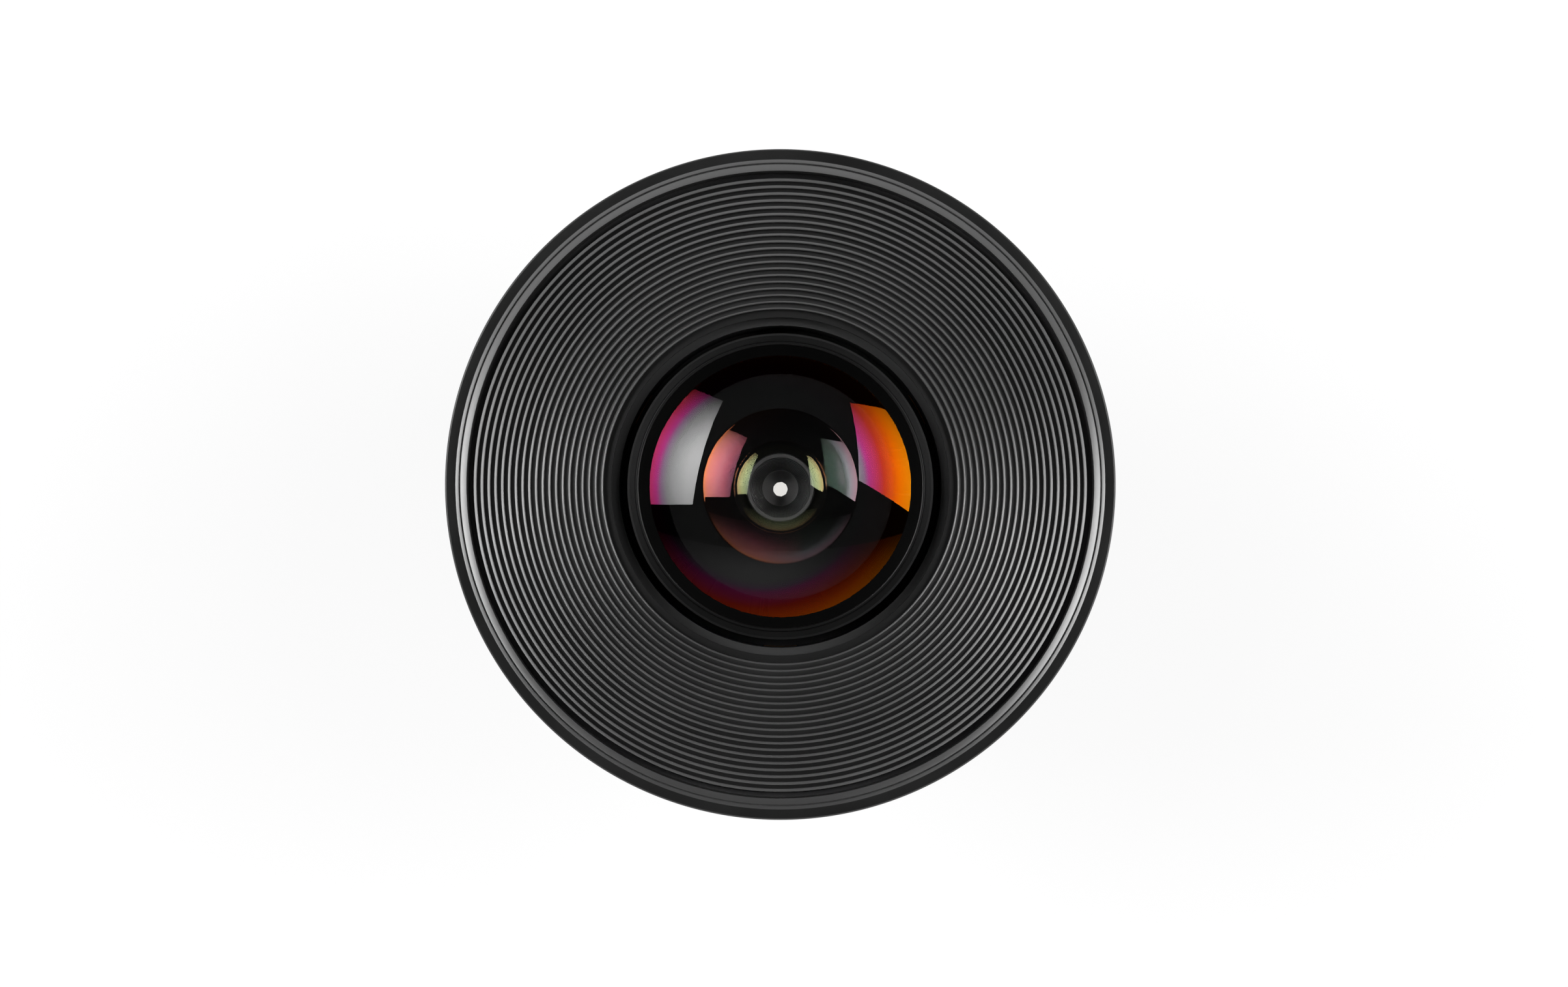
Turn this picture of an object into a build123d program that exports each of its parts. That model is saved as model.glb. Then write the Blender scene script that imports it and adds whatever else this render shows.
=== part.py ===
from build123d import *
import math
import os

# Ultra-wide cine prime lens, modelled in millimetres.
# The origin is the centre of the mount's seating face, and +Z is the optical axis towards the subject.

# Fits between pieces
RUNNING_GAP = 0.05
SEAT_GAP = 0.02
FACE_GAP = 0.1
AXIAL_GAP = 0.2
CEMENT_GAP = 0.02
GLASS_SIDE_GAP = 0.05
TOOL_OVERRUN = 1.0

# Front ring and overall length
FRONT_R = 57.0
FLANGE_TO_FRONT = 95.0
FRONT_RING_LENGTH = 18.0
FRONT_RING_WALL = 2.58
FRONT_RING_REAR_CHAMFER = 1.0
FRONT_EDGE_CHAMFER = 0.25
FRONT_RIM_WIDTH = 1.55
FRONT_BEVEL_WIDTH = 1.75
FRONT_BEVEL_DROP = 1.6
FRONT_GROOVE_WIDTH = 0.2
FRONT_GROOVE_DEPTH = 0.3
FRONT_GROOVE_OFFSET = 0.5
FRONT_SEAT_DEPTH = 7.0
FRONT_SCREW_COUNT = 3
FRONT_SCREW_ANGLE = 30.0
FRONT_SCREW_HEIGHT = 4.5
FRONT_SCREW_BITE = 1.4
FRONT_SCREW_SUNK = 0.8
GRUB_SCREW_R = 1.25

# Glass: radius of the edge and of a narrower rear face, front and rear curve, centre thickness
FRONT_GLASS_R = 24.2
FRONT_GLASS_CURVE = 50.0
FRONT_GLASS_REAR_CURVE = 31.0
FRONT_GLASS_RIM = 11.3
FRONT_GLASS_THICK = 6.5
FRONT_GLASS_EDGE_DEPTH = 1.05
SECOND_GLASS_R = 18.9
SECOND_GLASS_CURVE = 45.0
SECOND_GLASS_REAR_CURVE = 25.0
SECOND_GLASS_RIM = 11.1
SECOND_GLASS_THICK = 5.5
SECOND_GLASS_DEPTH = 10.4
SMALL_GLASS_R = 11.0
SMALL_GLASS_RIM = 1.4
THIRD_GLASS_CURVE = 20.0
THIRD_GLASS_REAR_CURVE = 11.0
THIRD_GLASS_RIM = 5.0
THIRD_GLASS_THICK = 3.0
THIRD_GLASS_GAP = 3.6
DOUBLET_CURVE = 26.0
DOUBLET_JOIN_CURVE = -34.0
DOUBLET_REAR_CURVE = -70.0
DOUBLET_THICK = 5.0
DOUBLET_REAR_THICK = 1.8
DOUBLET_HEIGHT = 17.6
REAR_DOUBLET_CURVE = -34.0
REAR_DOUBLET_JOIN_CURVE = 24.0
REAR_DOUBLET_REAR_CURVE = -24.0
REAR_DOUBLET_FRONT_THICK = 1.8
REAR_DOUBLET_THICK = 6.2
REAR_DOUBLET_DEPTH = 5.4
REAR_GLASS_R = 14.0
REAR_GLASS_CURVE = 48.0
REAR_GLASS_REAR_CURVE = -40.0
REAR_GLASS_THICK = 6.0
REAR_GLASS_Z = 8.0
LOCK_RING_WIDTH = 1.5
LOCK_RING_THICK = 1.5
GROOVE_COUNT = 10
GROOVE_DEPTH = 0.25
BAFFLE_POCKET_WIDTH = 1.4
BAFFLE_POCKET_DEPTH = 3.3
BAFFLE_COLLAR_STEP = 1.65
BAFFLE_COLLAR_WIDTH = 0.75
BAFFLE_COLLAR_HEIGHT = 1.0
BAFFLE_COLLAR_CHAMFER = 0.2
BAFFLE_TAPER = 1.7
BAFFLE_LIP = 0.5

# Moving optical tube and cells
CELL_WALL = 2.55
CELL_EDGE_CHAMFER = 0.4
CELL_SHOULDER = 1.45
INNER_CELL_WALL = 9.9
OPTIC_WALL = 4.0
OPTIC_REAR_Z = 10.0
OPTIC_LAND = 7.5
CELL_LENGTH = 16.0
REAR_CELL_R = 19.0
REAR_CELL_END_Z = -14.0
REAR_CELL_FLANGE_R = 23.5
REAR_CELL_FLANGE = 2.0
REAR_CELL_MOUTH_R = 16.5
BEZEL_LIP = 1.3
BEZEL_SHOULDER = 0.4
BEZEL_HEIGHT = 2.5
BEZEL_NOSE_R = 0.35
BEZEL_NOSE_INSET = 1.3
BEZEL_SHOULDER_HEIGHT = 1.2
SEAL_R = 0.5
SEAL_RISE = 0.3

# Fixed barrel pieces
SHELL_WALL = 2.0
FRONT_BARREL_SHOWS = 2.5
FRONT_BASE_LENGTH = 3.5
FRONT_BASE_WALL = 5.0
MAIN_TUBE_WALL = 2.7
MAIN_REAR_Z = 14.0
MAIN_SEAT_LENGTH = 2.0
MAIN_FRONT_DEPTH = 23.5
MAIN_FLANGE_WIDTH = 9.0
MAIN_FLANGE_Z = 44.0
MAIN_FLANGE_THICK = 3.0
BEARING_LAND_WIDTH = 2.45
BEARING_LAND_LENGTH = 2.5
BEARING_RING_THICK = 2.0
BEARING_SPIGOT_LENGTH = 4.0
INDEX_STEP = 0.2
INDEX_LENGTH = 7.2
INDEX_TAPER = 1.2
INDEX_WEB = 3.8
INDEX_OVERLAP = 1.1
INDEX_RECESS_WIDTH = 2.0
REAR_SHELL_SIDE = 4.8
REAR_SHELL_WALL = 2.8
REAR_NECK_STEP = 0.3
REAR_NECK_LENGTH = 5.5
REAR_BORE_SIDE = 1.0
REAR_STEP_DROP = 0.5
REAR_STEP_LENGTH = 3.0
REAR_STEP_CHAMFER = 1.0

# Ribbed funnel
RIB_COUNT = 20
RIB_SIDE_GAP = 1.15
RIB_DEPTH_FROM_FRONT = 5.7
RIB_CREST = 0.32
RIB_GROOVE_DEPTH = 1.1
FUNNEL_RIM_WIDTH = 0.3
FUNNEL_RIM_DROP = 1.3
FUNNEL_LIP_WIDTH = 1.2
FUNNEL_LIP_THICK = 1.0
FUNNEL_WALL = 1.3
FUNNEL_OVERHANG = 1.405
FUNNEL_END_RISE = 2.426

# Mount
FLANGE_THICK = 3.2
FLANGE_WIDTH = 4.3
EAR_LENGTH = 2.9
EAR_COUNT = 4
EAR_FIRST = 45.0
EAR_ANGLE = 58.0
EAR_NOTCH_WIDTH = 3.2
EAR_NOTCH_DEPTH = 2.2
SPIGOT_R = 27.0
SPIGOT_LENGTH = 10.0
SPIGOT_TAIL_STEP = 1.8
SPIGOT_TOTAL = 24.0
SPIGOT_WALL = 5.0
SPIGOT_CHAMFER = 0.6
SHIM_THICK = 0.3
MOUNT_SCREW_COUNT = 6
MOUNT_SCREW_R = 1.0
MOUNT_SCREW_HEAD_R = 1.9
MOUNT_SCREW_HEAD = 1.4
MOUNT_SCREW_LENGTH = 8.0
MASK_THICK = 1.0
MASK_WIDTH = 33.0
MASK_HEIGHT = 22.0
MASK_CORNER = 3.0
MASK_EDGE = 1.0
MASK_RECESS = 2.0

# Focus ring, its sleeve and the carrier that it drives
FOCUS_STEP = 0.2
FOCUS_WALL = 2.7
FOCUS_FRONT_GAP = 0.5
FOCUS_EDGE_CHAMFER = 0.5
FOCUS_WEB = 4.0
FOCUS_HUB_LENGTH = 12.0
FOCUS_HUB_WALL = 2.5
FOCUS_HUB_DROP = 3.0
FOCUS_SLEEVE_WALL = 2.5
SCALE_WALL = 2.0
SCALE_LENGTH = 13.6
SCALE_CHAMFER = 0.4
SCALE_REAR_STEP = 1.0
GEAR_MODULE = 0.8
GEAR_PRESSURE_ANGLE = 20.0
FOCUS_GEAR_RISE = 1.8
IRIS_GEAR_RISE = 1.0
GEAR_WIDTH = 7.0
GEAR_CHAMFER = 0.4
GEAR_SEAT = 0.5
FOCUS_GEAR_FROM_FRONT = 3.5
CARRIER_WALL = 2.3
CARRIER_LENGTH = 9.0
CARRIER_FROM_SLEEVE = 3.5
KEY_COUNT = 3
KEY_FIRST = 30.0
KEY_ANGLE = 12.0
KEY_LENGTH = 6.0
KEY_SIDE_ANGLE = 0.6
FOCUS_TRAVEL = 1.2
FOCUS_THROW = 300.0
FOCUS_SCREW_BITE = 1.2
FOCUS_SCREW_COUNT = 3
FOCUS_SCREW_ANGLE = 90.0
FOCUS_SCREW_HEIGHT = 2.4
STOP_PIN_R = 1.5
STOP_PIN_DEPTH = 1.9
STOP_PIN_TOP_GAP = 2.7
STOP_LUG_WIDTH = 4.0
STOP_LUG_LENGTH = 5.7
STOP_ANGLE = 200.0
STOP_GAP = 0.3

# Iris ring
IRIS_RING_STEP = 3.0
IRIS_RING_Z = 20.4
IRIS_RING_LENGTH = 18.0
IRIS_EDGE_CHAMFER = 0.5
IRIS_GEAR_Z = 1.6
LEVER_R = 1.5
LEVER_ANGLE = -90.0
LEVER_SIDE_ANGLES = {"rear_barrel": 3.0, "main_tube": 5.0, "optical_tube": 12.0}
LEVER_TIP_GAP = 0.5
IRIS_CLOSE_ANGLE = 10.0
IRIS_OPEN_ANGLE = 24.0
IRIS_RATIO = 0.7

# Diaphragm
BLADE_COUNT = 9
BLADE_THICK = 0.1
BLADE_STEP = 0.15
BLADE_INNER_R = 6.2
BLADE_OUTER_R = 11.0
BLADE_SPAN = 142.0
BLADE_TAB_ANGLE = 5.0
BLADE_TAB_OVERLAP = 0.5
BLADE_PAD_R = 1.3
PIVOT_CIRCLE_R = 13.0
PIVOT_HOLE = 1.0
PIN_R = 0.5
PIN_GAP = 0.05
DRIVE_ARM = 4.0
REST_APERTURE_R = 2.2
APERTURE_MAX_R = 5.9
APERTURE_EDGE = 0.4
APERTURE_FLARE = 1.0
DIAPHRAGM_Z = 27.4
DIAPHRAGM_FLOOR = 1.4
DIAPHRAGM_WALL = 2.45
ACTUATOR_THICK = 1.2
ACTUATOR_SIDE = 0.3
ACTUATOR_TAIL_LENGTH = 6.0
ACTUATOR_TAIL_WIDTH = 6.4
ACTUATOR_TAIL_SIDE_ANGLE = 1.0
COVER_THICK = 3.2
COVER_OPENING_R = 9.0
SLOT_POINTS = 9
SLOT_STEP_ANGLE = 0.1

# Radii worked out from the front glass outwards
CELL_R = FRONT_GLASS_R + GLASS_SIDE_GAP + CELL_WALL
BEZEL_R = CELL_R - BEZEL_SHOULDER
BEZEL_LIP_R = FRONT_GLASS_R - BEZEL_LIP
FRONT_GLASS_REAR_R = FRONT_GLASS_R - FRONT_GLASS_RIM
SECOND_GLASS_REAR_R = SECOND_GLASS_R - SECOND_GLASS_RIM
SMALL_GLASS_LIP_R = SMALL_GLASS_R - SMALL_GLASS_RIM
THIRD_GLASS_REAR_R = SMALL_GLASS_R - THIRD_GLASS_RIM
POCKET_R = SECOND_GLASS_REAR_R + BAFFLE_POCKET_WIDTH
COLLAR_R = SECOND_GLASS_REAR_R - BAFFLE_COLLAR_STEP
COLLAR_BORE_R = COLLAR_R - BAFFLE_COLLAR_WIDTH
BAFFLE_END_R = COLLAR_BORE_R - BAFFLE_TAPER
INNER_CELL_R = SMALL_GLASS_R + GLASS_SIDE_GAP + INNER_CELL_WALL
OPTIC_BORE_R = INNER_CELL_R + RUNNING_GAP
OPTIC_R = CELL_R + CELL_SHOULDER
MAIN_BORE_R = OPTIC_R + RUNNING_GAP
MAIN_TUBE_R = MAIN_BORE_R + MAIN_TUBE_WALL
MAIN_FLANGE_R = MAIN_TUBE_R + MAIN_FLANGE_WIDTH
BEARING_LAND_R = MAIN_TUBE_R + BEARING_LAND_WIDTH
FOCUS_SLEEVE_R = BEARING_LAND_R + RUNNING_GAP + FOCUS_SLEEVE_WALL
FOCUS_HUB_R = FOCUS_SLEEVE_R + FOCUS_HUB_WALL
REAR_BORE_R = OPTIC_BORE_R + OPTIC_WALL + REAR_BORE_SIDE
FUNNEL_END_R = MAIN_TUBE_R - FUNNEL_OVERHANG

# Radii worked out from the front ring inwards
FRONT_LIP_R = FRONT_R - FRONT_EDGE_CHAMFER - FRONT_RIM_WIDTH - FRONT_BEVEL_WIDTH
FRONT_BARREL_R = FRONT_R - FRONT_RING_WALL - SEAT_GAP
FOCUS_R = FRONT_BARREL_R - FOCUS_STEP
FOCUS_INNER_R = FOCUS_R - SCALE_WALL - FOCUS_WALL
STOP_CIRCLE_R = (FOCUS_HUB_R + FOCUS_INNER_R) / 2
FOCUS_TEETH = int(2 * (FOCUS_R + FOCUS_GEAR_RISE) / GEAR_MODULE + 0.5)
INDEX_R = FOCUS_R - INDEX_STEP
REAR_SHELL_R = INDEX_R - INDEX_TAPER - REAR_SHELL_SIDE - SHELL_WALL
IRIS_RING_R = INDEX_R - IRIS_RING_STEP
IRIS_TEETH = int(2 * (IRIS_RING_R + IRIS_GEAR_RISE) / GEAR_MODULE + 0.5)
REAR_STEP_R = IRIS_RING_R - REAR_STEP_DROP

# Radii of the mount
FLANGE_R = SPIGOT_R + FLANGE_WIDTH
EAR_R = FLANGE_R + EAR_LENGTH
SPIGOT_TAIL_R = SPIGOT_R - SPIGOT_TAIL_STEP
SPIGOT_BORE_R = SPIGOT_R - SPIGOT_WALL
MOUNT_SCREW_CIRCLE_R = (SPIGOT_R + FLANGE_R) / 2
REAR_NECK_R = FLANGE_R - REAR_NECK_STEP

# Heights worked out from the sizes above
FRONT_Z = FLANGE_TO_FRONT
FRONT_RING_REAR_Z = FRONT_Z - FRONT_RING_LENGTH
FRONT_SEAT_Z = FRONT_Z - FRONT_SEAT_DEPTH
FRONT_BARREL_REAR_Z = FRONT_RING_REAR_Z - FRONT_BARREL_SHOWS
MAIN_FRONT_Z = FRONT_Z - MAIN_FRONT_DEPTH
CELL_FRONT_Z = MAIN_FRONT_Z + BEARING_LAND_LENGTH
OPTIC_FRONT_Z = CELL_FRONT_Z - CELL_LENGTH
SHELL_REAR_Z = FLANGE_THICK + SHIM_THICK
MAIN_FLANGE_TOP_Z = MAIN_FLANGE_Z + MAIN_FLANGE_THICK
INDEX_REAR_Z = MAIN_FLANGE_TOP_Z - INDEX_OVERLAP - INDEX_LENGTH
INDEX_FRONT_Z = INDEX_REAR_Z + INDEX_LENGTH
SLEEVE_REAR_Z = MAIN_FLANGE_TOP_Z + FACE_GAP
CARRIER_Z = SLEEVE_REAR_Z + CARRIER_FROM_SLEEVE
BEARING_RING_Z = MAIN_FRONT_Z - FRONT_BASE_LENGTH - BEARING_RING_THICK
SLEEVE_FRONT_Z = BEARING_RING_Z - FACE_GAP
FOCUS_FRONT_Z = FRONT_BARREL_REAR_Z - FOCUS_FRONT_GAP
FOCUS_REAR_Z = INDEX_FRONT_Z + AXIAL_GAP
SCALE_FRONT_Z = FOCUS_REAR_Z + SCALE_LENGTH
FOCUS_WEB_Z = SCALE_FRONT_Z - FOCUS_WEB
FRONT_GLASS_SAG = FRONT_GLASS_CURVE - math.sqrt(FRONT_GLASS_CURVE ** 2 - FRONT_GLASS_R ** 2)
FRONT_GLASS_Z = CELL_FRONT_Z - FRONT_GLASS_EDGE_DEPTH + FRONT_GLASS_SAG
SECOND_GLASS_Z = FRONT_GLASS_Z - SECOND_GLASS_DEPTH
DOUBLET_Z = DIAPHRAGM_Z + DOUBLET_HEIGHT
THIRD_GLASS_Z = DOUBLET_Z + THIRD_GLASS_GAP + THIRD_GLASS_THICK
REAR_DOUBLET_Z = DIAPHRAGM_Z - REAR_DOUBLET_DEPTH
DOUBLET_END_Z = DOUBLET_Z - DOUBLET_THICK - CEMENT_GAP - DOUBLET_REAR_THICK
REAR_DOUBLET_END_Z = REAR_DOUBLET_Z - REAR_DOUBLET_FRONT_THICK - CEMENT_GAP - REAR_DOUBLET_THICK

# The funnel's slope, from its top rib to its inner end
RIB_OUTER_R = FRONT_LIP_R - RIB_SIDE_GAP
RIB_INNER_R = FUNNEL_END_R + FUNNEL_LIP_WIDTH + RIB_CREST
RIB_TOP_Z = FRONT_Z - RIB_DEPTH_FROM_FRONT
FUNNEL_END_Z = MAIN_FRONT_Z + FUNNEL_END_RISE
FUNNEL_SLOPE = (RIB_TOP_Z - FUNNEL_END_Z) / (RIB_OUTER_R - FUNNEL_END_R)
FUNNEL_RIM_R = RIB_OUTER_R + FUNNEL_RIM_WIDTH
RIB_PITCH_R = (RIB_OUTER_R - RIB_INNER_R) / (RIB_COUNT - 1)
RIB_PITCH_Z = RIB_PITCH_R * FUNNEL_SLOPE

# The diaphragm's places
ACTUATOR_INNER_R = PIVOT_CIRCLE_R - BLADE_PAD_R
ACTUATOR_OUTER_R = INNER_CELL_R - DIAPHRAGM_WALL - ACTUATOR_SIDE
ACTUATOR_TAIL_R = ACTUATOR_OUTER_R + ACTUATOR_TAIL_LENGTH
LEVER_TIP_R = OPTIC_BORE_R + LEVER_TIP_GAP
ACTUATOR_Z = DIAPHRAGM_Z + BLADE_STEP * (BLADE_COUNT + 1)
COVER_Z = ACTUATOR_Z + ACTUATOR_THICK + BLADE_STEP
LEVER_Z = ACTUATOR_Z + ACTUATOR_THICK / 2
REST_BLADE_ANGLE = 2 * math.degrees(math.asin((BLADE_INNER_R - REST_APERTURE_R) / (2 * PIVOT_CIRCLE_R)))
PITCH_ANGLE = 360.0 / BLADE_COUNT


def turned(points):
    """Solid of revolution about Z from a closed outline of (radius, height) points."""
    outline = Polyline(*[(r, 0, z) for r, z in points], close=True)
    return revolve(make_face(outline), Axis.Z, 360)


def ring(outer, inner, low, high):
    """Plain ring between two radii and two heights."""
    return turned([(inner, low), (outer, low), (outer, high), (inner, high)])


def disc(radius, low, high):
    """Plain cylinder on the axis."""
    return Pos(0, 0, low) * Cylinder(radius, high - low, align=(Align.CENTER, Align.CENTER, Align.MIN))


def radial_rod(radius, inner, outer, angle, z):
    """Round rod that points outward at an angle, between two distances from the axis."""
    rod = Cylinder(radius, outer - inner, align=(Align.CENTER, Align.CENTER, Align.MIN))
    return Rot(0, 0, angle) * Pos(inner, 0, z) * Rot(0, 90, 0) * rod


def sector(outer, inner, low, high, start, end):
    """Part of a ring between two angles in degrees."""
    outline = Polyline((inner, 0, low), (outer, 0, low), (outer, 0, high), (inner, 0, high), close=True)
    return Rot(0, 0, start) * revolve(make_face(outline), Axis.Z, end - start)


def axial_rods(radius, circle_r, count, low, high, first=0.0):
    """Equally spaced round rods parallel to the axis."""
    rod = Cylinder(radius, high - low, align=(Align.CENTER, Align.CENTER, Align.MIN))
    step = 360.0 / count
    return [Rot(0, 0, first + i * step) * Pos(circle_r, 0, low) * rod for i in range(count)]


def gear_teeth(teeth, inner, low, high):
    """Ring of straight-flanked teeth for a follow-focus or iris motor."""
    pitch_r = GEAR_MODULE * teeth / 2
    tip_r = pitch_r + GEAR_MODULE
    root_r = pitch_r - 1.25 * GEAR_MODULE
    half = math.pi * GEAR_MODULE / 4
    flank = math.tan(math.radians(GEAR_PRESSURE_ANGLE))
    points = []
    for i in range(teeth):
        middle = 2 * math.pi * i / teeth
        for r, side in ((root_r, -1), (tip_r, -1), (tip_r, 1), (root_r, 1)):
            width = half + (pitch_r - r) * flank
            angle = middle + side * width / r
            points.append((r * math.cos(angle), r * math.sin(angle)))
    blank = extrude(make_face(Polyline(*points, close=True)), high - low)
    toothed = Pos(0, 0, low) * blank - disc(inner, low - TOOL_OVERRUN, high + TOOL_OVERRUN)
    trim = turned([
        (inner, low), (root_r, low), (tip_r, low + GEAR_CHAMFER),
        (tip_r, high - GEAR_CHAMFER), (root_r, high), (inner, high),
    ])
    return toothed & trim


def sag(curve, r):
    """Depth of a spherical surface at radius r; the sign follows the curve."""
    return math.copysign(abs(curve) - math.sqrt(curve * curve - r * r), curve)


def surface_z(vertex_z, curve, r):
    """Height of a spherical surface at radius r."""
    return vertex_z - sag(curve, r)


def glass(edge_r, front_curve, rear_curve, thick, vertex_z, front_r=None, rear_r=None):
    """Spherical element. A positive curve bulges to the front; front_r and rear_r leave flat rims."""
    front_r = front_r or edge_r
    rear_r = rear_r or edge_r
    rear_z = vertex_z - thick
    front_edge_z = vertex_z - sag(front_curve, front_r)
    rear_edge_z = rear_z - sag(rear_curve, rear_r)
    front_mid = (front_r / 2, 0, vertex_z - sag(front_curve, front_r / 2))
    rear_mid = (rear_r / 2, 0, rear_z - sag(rear_curve, rear_r / 2))
    edges = [
        ThreePointArc((0, 0, vertex_z), front_mid, (front_r, 0, front_edge_z)),
        ThreePointArc((rear_r, 0, rear_edge_z), rear_mid, (0, 0, rear_z)),
        Line((0, 0, rear_z), (0, 0, vertex_z)),
    ]
    rim = [
        (front_r, 0, front_edge_z), (edge_r, 0, front_edge_z),
        (edge_r, 0, rear_edge_z), (rear_r, 0, rear_edge_z),
    ]
    for start, end in zip(rim, rim[1:]):
        if math.dist(start, end) > 1e-6:
            edges.append(Line(start, end))
    return revolve(make_face(edges), Axis.Z, 360)


def cut(body, *tools):
    """Body with every tool taken away."""
    for tool in tools:
        body = body - tool
    return body


# Mount flange, spigot and what is screwed to them
def mount_flange():
    """Hardened flange with four ears and the spigot that enters the camera."""
    tail_z = -SPIGOT_TOTAL
    step_z = -SPIGOT_LENGTH
    c = SPIGOT_CHAMFER
    mask_r = SPIGOT_BORE_R + MASK_EDGE
    body = turned([
        (SPIGOT_BORE_R, FLANGE_THICK), (FLANGE_R, FLANGE_THICK), (FLANGE_R, 0), (SPIGOT_R, 0),
        (SPIGOT_R, step_z + c), (SPIGOT_R - c, step_z), (SPIGOT_TAIL_R, step_z), (SPIGOT_TAIL_R, tail_z + c),
        (SPIGOT_TAIL_R - c, tail_z), (mask_r, tail_z), (mask_r, tail_z + MASK_RECESS + MASK_THICK),
        (SPIGOT_BORE_R, tail_z + MASK_RECESS + MASK_THICK),
    ])
    for i in range(EAR_COUNT):
        start = EAR_FIRST + i * 360 / EAR_COUNT - EAR_ANGLE / 2
        body = body + sector(EAR_R, FLANGE_R - TOOL_OVERRUN, 0, FLANGE_THICK, start, start + EAR_ANGLE)
    notch = Box(2 * EAR_NOTCH_DEPTH, EAR_NOTCH_WIDTH, 3 * FLANGE_THICK)
    body = body - Rot(0, 0, EAR_FIRST) * Pos(EAR_R, 0, 0) * notch
    heads = axial_rods(MOUNT_SCREW_HEAD_R + FACE_GAP, MOUNT_SCREW_CIRCLE_R, MOUNT_SCREW_COUNT,
                       -TOOL_OVERRUN, MOUNT_SCREW_HEAD + FACE_GAP)
    shanks = axial_rods(MOUNT_SCREW_R + FACE_GAP, MOUNT_SCREW_CIRCLE_R, MOUNT_SCREW_COUNT,
                        -TOOL_OVERRUN, FLANGE_THICK + TOOL_OVERRUN)
    return cut(body, *heads, *shanks)


def mount_shim():
    """Thin brass ring that sets the flange distance."""
    body = ring(REAR_NECK_R, REAR_BORE_R, FLANGE_THICK, SHELL_REAR_Z)
    holes = axial_rods(MOUNT_SCREW_R + FACE_GAP, MOUNT_SCREW_CIRCLE_R, MOUNT_SCREW_COUNT,
                       0, SHELL_REAR_Z + TOOL_OVERRUN)
    return cut(body, *holes)


def mount_screws():
    """Flat-head screws with a hexagon socket, flush in the flange."""
    screws = []
    head_z = MOUNT_SCREW_HEAD + FACE_GAP
    for i in range(MOUNT_SCREW_COUNT):
        head = disc(MOUNT_SCREW_HEAD_R, FACE_GAP, head_z)
        shank = disc(MOUNT_SCREW_R, head_z, MOUNT_SCREW_LENGTH)
        socket = Pos(0, 0, FACE_GAP) * extrude(RegularPolygon(MOUNT_SCREW_R, 6), MOUNT_SCREW_HEAD / 2)
        place = Rot(0, 0, i * 360 / MOUNT_SCREW_COUNT) * Pos(MOUNT_SCREW_CIRCLE_R, 0, 0)
        screws.append(place * (head + shank - socket))
    return Compound(children=screws)


def rear_mask():
    """Plate with a rectangular window that keeps stray light off the sensor's surround."""
    low = -SPIGOT_TOTAL + MASK_RECESS
    plate = disc(SPIGOT_BORE_R + MASK_EDGE - SEAT_GAP, low, low + MASK_THICK)
    window = extrude(RectangleRounded(MASK_WIDTH, MASK_HEIGHT, MASK_CORNER), 3 * MASK_THICK)
    return plate - Pos(0, 0, low - MASK_THICK) * window


# Fixed barrel
def lever_window(outer, inner, piece):
    """Arc-shaped opening that lets the iris lever through the wall of a piece."""
    half_z = LEVER_R + AXIAL_GAP
    start = LEVER_ANGLE - IRIS_OPEN_ANGLE - LEVER_SIDE_ANGLES[piece]
    end = LEVER_ANGLE + IRIS_CLOSE_ANGLE + LEVER_SIDE_ANGLES[piece]
    return sector(outer + TOOL_OVERRUN, inner - TOOL_OVERRUN, LEVER_Z - half_z - FOCUS_TRAVEL,
                  LEVER_Z + half_z + FOCUS_TRAVEL, start, end)


def rear_barrel():
    """Shell from the mount out to the iris ring's track."""
    inner = REAR_SHELL_R - REAR_SHELL_WALL
    neck_z = SHELL_REAR_Z + REAR_NECK_LENGTH
    step_z = IRIS_RING_Z - AXIAL_GAP
    front_z = MAIN_FLANGE_Z - INDEX_WEB
    seat_z = MAIN_REAR_Z + MAIN_SEAT_LENGTH
    collar_r = MAIN_TUBE_R + 1.5 * SHELL_WALL
    body = turned([
        (REAR_BORE_R, SHELL_REAR_Z), (REAR_NECK_R, SHELL_REAR_Z), (REAR_NECK_R, neck_z),
        (REAR_STEP_R - 2 * SHELL_WALL, step_z - REAR_STEP_LENGTH),
        (REAR_STEP_R, step_z - REAR_STEP_LENGTH + REAR_STEP_CHAMFER),
        (REAR_STEP_R, step_z), (REAR_SHELL_R, step_z), (REAR_SHELL_R, front_z), (inner, front_z),
        (inner, step_z), (collar_r, seat_z), (MAIN_TUBE_R + SEAT_GAP, seat_z),
        (MAIN_TUBE_R + SEAT_GAP, MAIN_REAR_Z), (REAR_BORE_R, MAIN_REAR_Z),
    ])
    holes = axial_rods(MOUNT_SCREW_R, MOUNT_SCREW_CIRCLE_R, MOUNT_SCREW_COUNT, 0, MOUNT_SCREW_LENGTH)
    return cut(body, lever_window(REAR_SHELL_R, inner, "rear_barrel"), *holes)


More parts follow.
